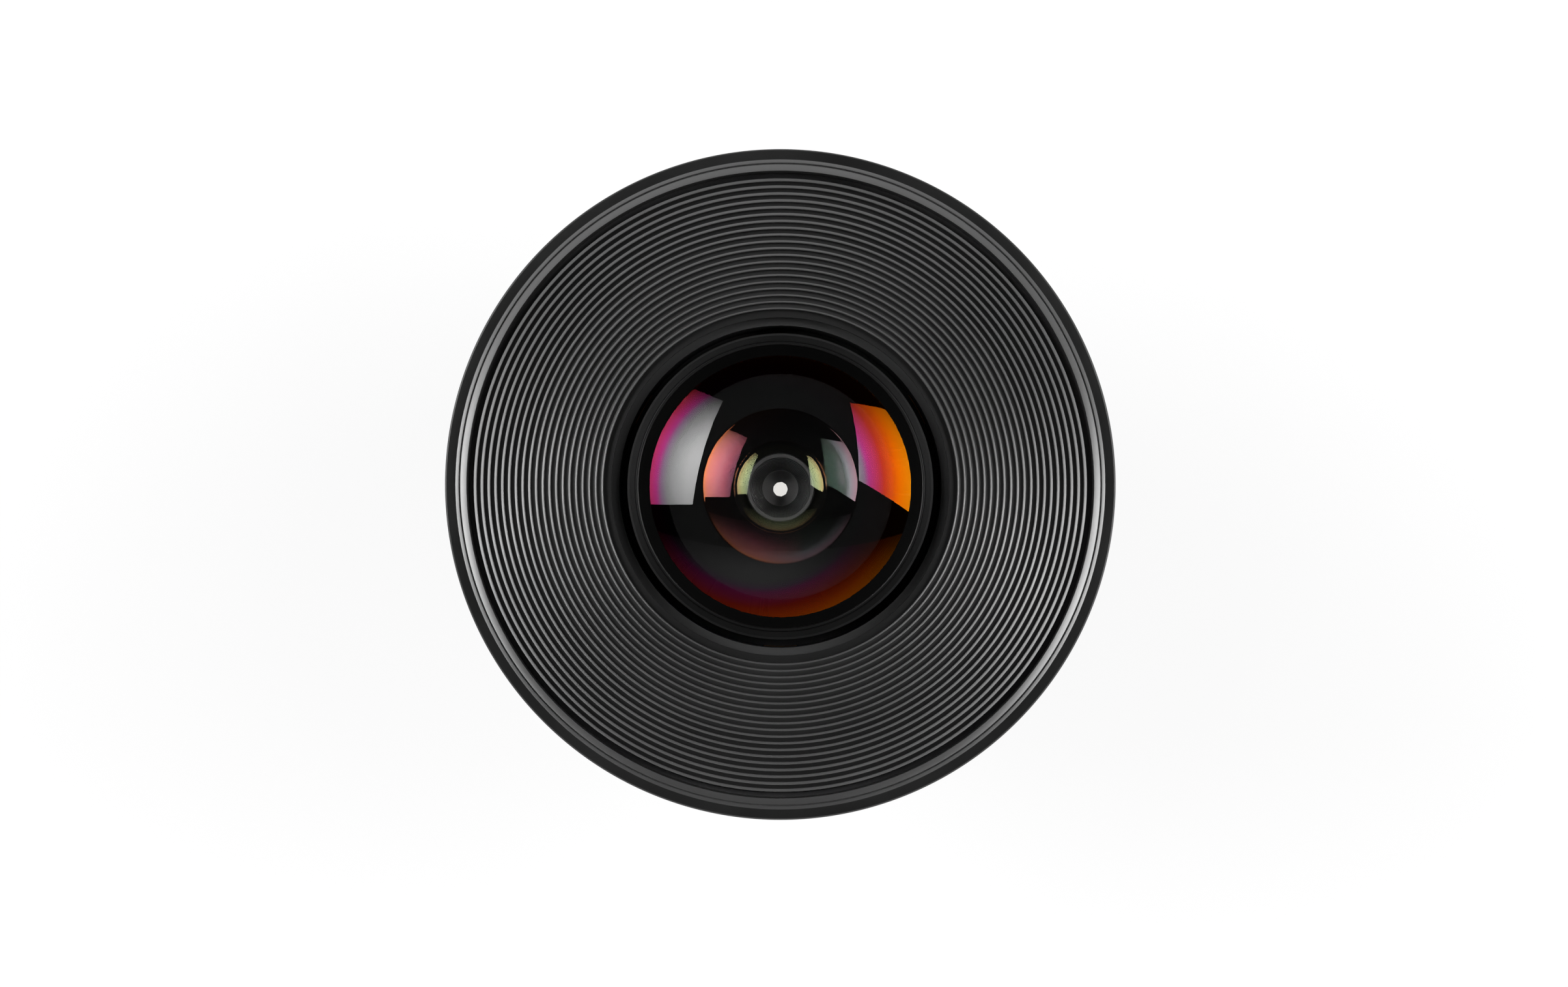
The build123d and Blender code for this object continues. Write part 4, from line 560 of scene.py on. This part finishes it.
# A fine groove is cut into the bevel, which meets its two walls at the last two heights.
GROOVE_OUTER_R, GROOVE_INNER_R, GROOVE_FLOOR_Z = 54.7, 54.5, 94.06
GROOVE_OUTER_Z, GROOVE_INNER_Z = 94.543, 94.36
BARREL_BORE_R, LIP_REAR_Z = 54.42, 88.0
GRUB_HEIGHT, GRUB_R = 81.5, 1.29
GRUB_ANGLES = (30, 150, 270)
front_ring_outline = [
    (BARREL_BORE_R, FRONT_RING_REAR), (FRONT_R - REAR_CHAMFER, FRONT_RING_REAR),
    (FRONT_R, FRONT_RING_REAR + REAR_CHAMFER), (FRONT_R, FRONT_FACE_Z - RIM_CHAMFER),
    (FRONT_R - RIM_CHAMFER, FRONT_FACE_Z), (RIM_INNER_R, FRONT_FACE_Z), (GROOVE_OUTER_R, GROOVE_OUTER_Z),
    (GROOVE_OUTER_R, GROOVE_FLOOR_Z), (GROOVE_INNER_R, GROOVE_FLOOR_Z), (GROOVE_INNER_R, GROOVE_INNER_Z),
    (BEVEL_INNER_R, BEVEL_FOOT_Z), (BEVEL_INNER_R, LIP_REAR_Z), (BARREL_BORE_R, LIP_REAR_Z)]
# Blasted black anodising, a shade deeper; the bevel is cut after blasting, so it mirrors the side lights.
front_finish = anodised("bead_blasted_front_ring", "#0d0d0d", 0.34, 0.12, 0.08, shine=0.42)
bevel_finish = anodised("bright_turned_bevel", "#2a2a2a", 0.38, 0.2, 0.04, 0.1, 0.05, shine=1.0)
soft_front = softened(front_ring_outline, radius=0.07)
RING_SLOT, BEVEL_SLOT = 0, 1
soft_slots = []
for a, b in zip(soft_front, soft_front[1:] + soft_front[:1]):
    middle_r, middle_z = (a[0] + b[0]) / 2, (a[1] + b[1]) / 2
    on_bevel = middle_r < RIM_INNER_R + 0.02 and middle_z > BEVEL_FOOT_Z - 0.2
    soft_slots.append(BEVEL_SLOT if on_bevel else RING_SLOT)
front_ring = lathe("front_ring_shell", soft_front, "housing", "front_ring", [front_finish, bevel_finish],
                   soft_slots, segments=360)
for angle in GRUB_ANGLES:
    drill(front_ring, angle, GRUB_HEIGHT, GRUB_R)


# Ribbed funnel: black-anodised aluminium with twenty turned ribs, whose eased crests keep the cone's slope.
# Each crest catches the softbox across the lens as a fine bright band, helped by a painted highlight in its
# lighter grey; stray light dies between the ribs.
RIB_COUNT = 20
RIB_OUTER_R, RIB_TOP = 52.3, 89.3
RIB_PITCH_R, RIB_PITCH_Z = 1.115, 0.755
RIB_HALF, RIB_DEPTH = 0.25, 1.1
RIB_SLOPE = RIB_PITCH_Z / RIB_PITCH_R
# A crest's points from its outer to its inner side: distance across it, and rise above the cone.
CREST = [(RIB_HALF, -0.08), (0.21, 0.0), (0.07, 0.012), (-0.07, 0.012), (-0.21, 0.0), (-RIB_HALF, -0.05)]
CREST_DROP = 0.16
# Towards the glass the crests get narrower and steeper, so they shine less.
CREST_NARROWING, CREST_STEEPENING = 0.4, 0.35
FUNNEL_RIM_R, FUNNEL_RIM_TOP, FUNNEL_RIM_REAR = 52.6, 88.0, 86.83
FUNNEL_END_R, FUNNEL_END_Z, FUNNEL_END_WALL = 29.595, 73.926, 1.0
FUNNEL_BACK_R, FUNNEL_BACK_Z = 30.37, 71.78
funnel_outline = [(FUNNEL_RIM_R, FUNNEL_RIM_TOP)]
CREST_SLOT, CUT_SLOT, LIP_SLOT = 0, 1, 2
funnel_slots = [CUT_SLOT]
for i in range(RIB_COUNT):
    r, z = RIB_OUTER_R - i * RIB_PITCH_R, RIB_TOP - i * RIB_PITCH_Z - CREST_DROP
    width = 1 - CREST_NARROWING * i / (RIB_COUNT - 1)
    lean = RIB_SLOPE * (1 + CREST_STEEPENING * i / (RIB_COUNT - 1))
    funnel_outline += [(r + across * width, z + across * width * lean + lift) for across, lift in CREST]
    funnel_outline.append((r - RIB_HALF * width, z - RIB_DEPTH))
    funnel_slots += [CREST_SLOT] * (len(CREST) - 1) + [CUT_SLOT, CUT_SLOT]
funnel_outline += [(FUNNEL_END_R, FUNNEL_END_Z), (FUNNEL_END_R, FUNNEL_END_Z - FUNNEL_END_WALL),
                   (FUNNEL_BACK_R, FUNNEL_BACK_Z), (FUNNEL_RIM_R, FUNNEL_RIM_REAR)]
funnel_slots[-1:] = [LIP_SLOT, LIP_SLOT, CUT_SLOT, CUT_SLOT, CUT_SLOT]
# The crests are painted a lighter grey than the matt cuts between them, a painted highlight on top of their
# glossier turned skin, so each draws a fine light ring.
crest_painted_highlight_finish = anodised("turned_rib_crest_painted_highlight", "#3f3f3f", 0.42, 0.15, 0.03, 0.1, 0.02, shine=0.72)
funnel_finish = anodised("matt_black_funnel", "#1e1e1e", 0.45, 0.15, 0.06, 0.1, 0.05)
# The smooth lip at the funnel's inner end is duller still.
lip_finish = anodised("matt_funnel_lip", "#0a0a0a", 0.6, 0.15, 0.05, shine=0.18)
funnel = lathe("ribbed_funnel_shell", funnel_outline, "housing", "ribbed_funnel",
               [crest_painted_highlight_finish, funnel_finish, lip_finish], funnel_slots, segments=360)


# Moving optical tube: carries every cell, and slides on bronze keys in the main tube's slots.
# The carrier ring joins it to the focus sleeve's thread.
dress(inner_finish, "optical_tube")
dress(bronze, "carrier_ring", "carrier_keys")


# Rear cell: turned and blackened aluminium; threaded rings hold the rear doublet and the last element in it.
dress(inner_finish, "rear_cell", "rear_doublet_ring", "rear_lock_ring")


# Diaphragm: nine thin spring-steel blades swing on pins in a round housing, under a cover.
# A slotted steel ring, driven by the iris ring's lever, turns them all at once.
dress(inner_finish, "diaphragm_housing", "diaphragm_cover")
dress(ground_steel, "iris_actuator")
# Black-coated spring steel: a dark satin that shows each blade's edge.
blade_finish = anodised("coated_spring_steel", "#2e2e2e", 0.45, 0.2, 0.05)
dress(blade_finish, *[f"iris_blade_{i}" for i in range(1, 10)])


# Inner cell and grooved baffle: blackened aluminium round the third element.
# The baffle is a collar and a cone of fine turned lips that catch stray light in front of the stop.
dress(inner_finish, "inner_cell", "doublet_spacer")
LIP_COUNT = 10
COLLAR_R, COLLAR_BORE_R, CONE_END_R = 6.15, 5.4, 3.7
POCKET_FLOOR, COLLAR_TOP, CONE_END = 58.75, 59.75, 52.3
BAFFLE_REAR, BAFFLE_FRONT, BAFFLE_R = 49.17, 62.04, 20.95
BAFFLE_BORE_R, POCKET_R = 9.6, 9.2
COLLAR_CHAMFER = 0.2
LIP_WIDTH, LIP_DEPTH = 0.08, 0.5
LIP_RISE, LIP_FOOT = 0.14, 0.1
LIP_SIDE_DROP, LIP_EDGE_DROP = 0.03, 0.02
CONE_END_WALL = 0.5
baffle_outline = [
    (BAFFLE_BORE_R, BAFFLE_REAR), (BAFFLE_R, BAFFLE_REAR), (BAFFLE_R, BAFFLE_FRONT), (POCKET_R, BAFFLE_FRONT),
    (POCKET_R, POCKET_FLOOR), (COLLAR_R, POCKET_FLOOR), (COLLAR_R, COLLAR_TOP - COLLAR_CHAMFER),
    (COLLAR_R - COLLAR_CHAMFER, COLLAR_TOP), (COLLAR_BORE_R, COLLAR_TOP)]
lip_step_r = (COLLAR_BORE_R - CONE_END_R) / LIP_COUNT
lip_step_z = (COLLAR_TOP - CONE_END) / LIP_COUNT
for i in range(LIP_COUNT):
    r, z = COLLAR_BORE_R - i * lip_step_r, COLLAR_TOP - (i + 1) * lip_step_z
    inner = r - lip_step_r
    baffle_outline += [(r, z + LIP_RISE), (r + LIP_FOOT, z - LIP_DEPTH), (inner + LIP_WIDTH, z - LIP_DEPTH),
                       (inner + LIP_WIDTH, z - LIP_SIDE_DROP), (inner + LIP_WIDTH / 2, z),
                       (inner, z - LIP_EDGE_DROP)]
baffle_outline += [(CONE_END_R, CONE_END - CONE_END_WALL), (BAFFLE_BORE_R, CONE_END - CONE_END_WALL)]
# Turned and blackened: each lip's edge is a fine grey line, and the cut behind it is dark.
baffle_finish = anodised("grooved_matt_black", "#3c3c3c", 0.45, 0.2, 0.05)
# The outside, the front face and the pocket round the collar are lacquered dead black.
pocket_finish = anodised("lacquered_pocket", "#070707", 0.8, 0.15, 0.05, shine=0.08)
GROOVED_SLOT, POCKET_SLOT = 0, 1
POCKET_STRETCHES = 5
baffle_slots = [POCKET_SLOT] * POCKET_STRETCHES + [GROOVED_SLOT] * (len(baffle_outline) - POCKET_STRETCHES)
baffle = lathe("grooved_baffle_cone", baffle_outline, "optical_block", "grooved_baffle",
               [baffle_finish, pocket_finish], baffle_slots, segments=192)


# Front cell and seal: a deep cup, turned and blackened, that holds the two big front elements.
# The first rests on a nitrile ring, and a threaded ring holds the second.
dress(inner_finish, "front_cell", "second_lock_ring")
# Nitrile rubber: dead black, a little soft to the light.
dress(anodised("nitrile_rubber", "#141414", 0.7, 0.3, 0.1), "front_seal")


# Front bezel: thin threaded ring of anodised aluminium with a rounded, satin lip round the front glass.
# Its cone is lacquered matt black, so only the lip shows as a fine line.
NOSE_R, NOSE_Z, NOSE_ROUND = 25.1, 74.62, 0.35
BEZEL_LIP_R, BEZEL_LIP_Z = 22.9, 73.664
BEZEL_UNDER_R, BEZEL_UNDER_Z = 24.2, 73.45
BEZEL_SEAT_R, BEZEL_SEAT_Z = 24.7, 74.02
BEZEL_R, BEZEL_SHOULDER_Z = 26.4, 74.45
NOSE_STEPS = 12
bezel_outline = [(BEZEL_LIP_R, BEZEL_LIP_Z), (BEZEL_UNDER_R, BEZEL_UNDER_Z), (BEZEL_SEAT_R, BEZEL_SEAT_Z),
                 (BEZEL_R, BEZEL_SEAT_Z), (BEZEL_R, BEZEL_SHOULDER_Z)]
for s in range(NOSE_STEPS + 1):
    a = math.pi * s / NOSE_STEPS
    bezel_outline.append((NOSE_R + NOSE_ROUND * math.cos(a), NOSE_Z + NOSE_ROUND * math.sin(a)))
bezel_finish = anodised("satin_bezel", "#050505", 0.42, 0.15, 0.04, 0.1, 0.04, shine=0.14)
cone_finish = anodised("lacquered_cone", "#030303", 0.8, 0.15, 0.05, shine=0.02)
# The outline's last stretch, from the nose back to the lip, is the cone.
SATIN_SLOT, CONE_SLOT = 0, 1
bezel_slots = [SATIN_SLOT] * (len(bezel_outline) - 1) + [CONE_SLOT]
bezel = lathe("front_bezel_ring", bezel_outline, "optical_block", "front_bezel", [bezel_finish, cone_finish],
              bezel_slots, segments=256)


# Glass elements: polished optical glass with anti-reflection coats, their edges ground and painted black.
# A coat's colour shifts with angle, from neutral at the middle through magenta to orange at the rim.
def sag(curve, r):
    """Depth of a spherical surface at a radius; the sign follows the curve."""
    return math.copysign(abs(curve) - math.sqrt(curve * curve - r * r), curve)


CURVE_STEPS = 40
FRONT_COAT_SLOT, REAR_COAT_SLOT, EDGE_SLOT = 0, 1, 2


def lens_outline(edge_r, front_curve, rear_curve, thick, vertex_z, rear_r):
    """Outline from the rear vertex out, up the edge and back over the front, with each stretch's slot."""
    shares = [s / CURVE_STEPS for s in range(CURVE_STEPS + 1)]
    outline = [(rear_r * u, vertex_z - thick - sag(rear_curve, rear_r * u)) for u in shares]
    front = [(edge_r * u, vertex_z - sag(front_curve, edge_r * u)) for u in reversed(shares)]
    slots = [REAR_COAT_SLOT] * CURVE_STEPS
    if edge_r > rear_r:
        outline.append((edge_r, outline[-1][1]))
        slots.append(EDGE_SLOT)
    slots.append(EDGE_SLOT)
    return outline + front, slots + [FRONT_COAT_SLOT] * CURVE_STEPS


# The two sides' coats blend within this many millimetres of the middle.
SIDES_MEET = 4.0
# Where bare glass would reflect more than this share, the coat's tint gives way to a plain mirror.
GRAZE_FROM = 0.12
MIRROR, DIMMED = (0.9, 0.9, 0.9, 1.0), (0.1, 0.1, 0.1, 1.0)
CLEAR = (0.996, 0.9945, 0.992, 1.0)
CLEAR_TO_SHADOW = (0.93, 0.93, 0.93, 1.0)


def coated(name, ior, left, right=None, shift_mm=0.0, haze=0.0):
    """Clear glass with a coat. Each ramp lists (distance in mm, reflected colour); right serves the +X half.

    haze is the share of light that fine dust and coating texture scatter.
    """
    material = fresh(name)
    place = add(material, "ShaderNodeTexCoord").outputs["Object"]
    flat = add(material, "ShaderNodeVectorMath", {"operation": "MULTIPLY", 1: (1000, 1000, 0)}, i0=place)
    shifted = add(material, "ShaderNodeVectorMath", {"operation": "ADD", 1: (shift_mm, 0, 0)},
                  i0=flat.outputs[0])
    distance = add(material, "ShaderNodeVectorMath", {"operation": "LENGTH"}, i0=shifted.outputs[0])

    def ramp_of(ramp):
        last = ramp[-1][0]
        share = add(material, "ShaderNodeMath", {"operation": "DIVIDE", 1: last},
                    i0=distance.outputs["Value"])
        colours = add(material, "ShaderNodeValToRGB", i0=share.outputs[0])
        bands = colours.color_ramp.elements
        while len(bands) < len(ramp):
            bands.new(0.5)
        for band, (mm, rgb) in zip(bands, ramp):
            band.position = mm / last
            band.color = (*rgb, 1.0)
        return colours.outputs[0]

    tint = ramp_of(left)
    if right:
        sides = add(material, "ShaderNodeSeparateXYZ", i0=flat.outputs[0])
        side = add(material, "ShaderNodeMapRange", {1: -SIDES_MEET, 2: SIDES_MEET}, i0=sides.outputs["X"])
        tint = add(material, "ShaderNodeMix", {"data_type": "RGBA"}, i0=side.outputs[0], i6=tint,
                   i7=ramp_of(right)).outputs[2]
    graze = add(material, "ShaderNodeFresnel", {"IOR": ior})
    rise = add(material, "ShaderNodeMapRange", {1: GRAZE_FROM, 2: 1.0}, i0=graze.outputs[0])
    reflected = add(material, "ShaderNodeMix", {"data_type": "RGBA", 7: MIRROR}, i0=rise.outputs[0], i6=tint)
    passed = add(material, "ShaderNodeMix", {"data_type": "RGBA", 6: CLEAR, 7: DIMMED}, i0=rise.outputs[0])
    bent = add(material, "ShaderNodeBsdfRefraction", {"IOR": ior, "Roughness": 0.0}, Color=passed.outputs[2])
    gloss = add(material, "ShaderNodeBsdfGlossy", {"Roughness": 0.0}, Color=reflected.outputs[2])
    both = add(material, "ShaderNodeAddShader", i0=bent.outputs[0], i1=gloss.outputs[0])
    if haze:
        dust = add(material, "ShaderNodeBsdfDiffuse", {"Color": (haze, haze, haze, 1.0)})
        both = add(material, "ShaderNodeAddShader", i0=both.outputs[0], i1=dust.outputs[0])
    path = add(material, "ShaderNodeLightPath")
    straight = add(material, "ShaderNodeMath", {"operation": "MAXIMUM"},
                   i0=path.outputs["Is Shadow Ray"], i1=path.outputs["Is Diffuse Ray"])
    clear = add(material, "ShaderNodeBsdfTransparent", {"Color": CLEAR_TO_SHADOW})
    shader = add(material, "ShaderNodeMixShader", i0=straight.outputs[0], i1=both.outputs[0],
                 i2=clear.outputs[0])
    return finish_material(material, shader.outputs[0])


# Refractive indices of dense crown, flint, lanthanum heavy flint and fluor crown.
CROWN, FLINT, HEAVY_FLINT, FLUOR_CROWN = 1.6, 1.7, 1.88, 1.47
# Outer coat: grey at the middle, then magenta and orange towards the +X rim.
outer_coat = coated("front_coat", CROWN, [
    (0, (0.052, 0.052, 0.052)), (13.3, (0.050, 0.050, 0.050)), (15.0, (0.040, 0.040, 0.040)),
    (16.7, (0.027, 0.027, 0.027)), (17.8, (0.024, 0.0147, 0.0233)), (18.6, (0.043, 0.004, 0.0215)),
    (19.3, (0.046, 0.0036, 0.015)), (21.2, (0.050, 0.0033, 0.0013)), (22.9, (0.074, 0.0095, 0.0005)),
    (24.0, (0.085, 0.016, 0.0001)), (26.0, (0.0785, 0.023, 0.0003))], shift_mm=3.1)
# Warm coat on the front element's hollow rear: pink turning orange at its edge, green-grey on the +X side.
warm_coat = coated("warm_coat", CROWN, [
    (0, (0.002, 0.003, 0.003)), (7.6, (0.012, 0.005, 0.008)), (8.6, (0.026, 0.0075, 0.0115)),
    (9.5, (0.048, 0.0125, 0.0165)), (10.3, (0.062, 0.019, 0.0235)), (11.1, (0.078, 0.024, 0.025)),
    (12.2, (0.092, 0.0290, 0.023)), (12.55, (0.105, 0.032, 0.014)), (12.95, (0.095, 0.022, 0.005))], [
    (0, (0.002, 0.003, 0.003)), (7.4, (0.0040, 0.0066, 0.0050)), (9.5, (0.0055, 0.0078, 0.0062)),
    (10.8, (0.008, 0.0095, 0.0085)), (11.5, (0.027, 0.027, 0.029)), (12.3, (0.040, 0.027, 0.032)),
    (12.95, (0.034, 0.018, 0.020))])
# Lilac coat on the second element: a pale lavender patch on the +X side.
lilac_coat = coated("lilac_coat", FLINT, [
    (0, (0.0015, 0.0015, 0.0015)), (10.8, (0.004, 0.002, 0.001)), (11.6, (0.018, 0.008, 0.004)),
    (13.3, (0.026, 0.010, 0.002))], [
    (0, (0.0015, 0.0015, 0.0015)), (9.6, (0.004, 0.0035, 0.004)), (13.3, (0.012, 0.010, 0.012))])
# Green coat on the second element's hollow rear: yellow-green with a brown rim.
green_coat = coated("green_coat", FLINT, [
    (0, (0.003, 0.004, 0.003)), (5.0, (0.016, 0.020, 0.014)), (5.8, (0.036, 0.043, 0.023)),
    (6.4, (0.049, 0.053, 0.026)), (6.9, (0.049, 0.045, 0.020)), (7.3, (0.050, 0.030, 0.013)),
    (7.8, (0.060, 0.019, 0.008))])
# Neutral coats: a pale grey glint on the third element's rear, and next to nothing elsewhere.
# The third element's front carries a dust haze, which veils the dark round the stop.
BARELY = [(0, (0.002, 0.002, 0.002)), (20, (0.002, 0.002, 0.002))]
hazed_coat = coated("hazed_coat", HEAVY_FLINT, BARELY, haze=0.6)
inner_coat = coated("inner_coat", HEAVY_FLINT, [(0, (0.040, 0.040, 0.039)), (11, (0.040, 0.040, 0.039))])
crown_coat = coated("neutral_crown_coat", FLUOR_CROWN, BARELY)
flint_coat = coated("neutral_flint_coat", FLINT, BARELY)
# Blackened edge: ink on ground glass, which swallows light that reaches the rim.
GROUND_GRAIN_MM = 0.25
painted_edge = fresh("blackened_glass_edge")
grain = add(painted_edge, "ShaderNodeTexNoise", {"Scale": 1000 / GROUND_GRAIN_MM, "Detail": 2.0})
ground = add(painted_edge, "ShaderNodeBump", {"Strength": 0.1, "Distance": BUMP_DEPTH},
             Height=grain.outputs[0])
matt = add(painted_edge, "ShaderNodeBsdfPrincipled",
           {"Base Color": linear("#060606"), "Roughness": 0.7, "Specular IOR Level": 0.05},
           Normal=ground.outputs[0])
finish_material(painted_edge, matt.outputs[0])

GLASS = [
    # node, edge radius, front curve, rear curve, thickness, front vertex height, rear clear radius, coats
    ("front_element", 24.2, 50.0, 31.0, 6.5, 79.1966, 12.9, outer_coat, warm_coat),
    ("second_element", 18.9, 45.0, 25.0, 5.5, 68.7966, 7.8, lilac_coat, green_coat),
    ("third_element", 11.0, 20.0, 11.0, 3.0, 51.6, 6.0, hazed_coat, inner_coat),
    ("doublet_front", 11.0, 26.0, -34.0, 5.0, 45.0, 11.0, crown_coat, crown_coat),
    ("doublet_rear", 11.0, -34.0, -70.0, 1.8, 39.98, 11.0, flint_coat, flint_coat),
    ("rear_doublet_front", 11.0, -34.0, 24.0, 1.8, 22.0, 11.0, flint_coat, flint_coat),
    ("rear_doublet_rear", 11.0, 24.0, -24.0, 6.2, 20.18, 11.0, crown_coat, crown_coat),
    ("rear_element", 14.0, 48.0, -40.0, 6.0, 8.0, 14.0, crown_coat, crown_coat),
]
for node, edge_r, front_curve, rear_curve, thick, vertex_z, rear_r, front_coat, rear_coat in GLASS:
    outline, slots = lens_outline(edge_r, front_curve, rear_curve, thick, vertex_z, rear_r)
    element = lathe(node + "_glass", outline, "optical_block", node, [front_coat, rear_coat, painted_edge],
                    slots, segments=192, closed=False)
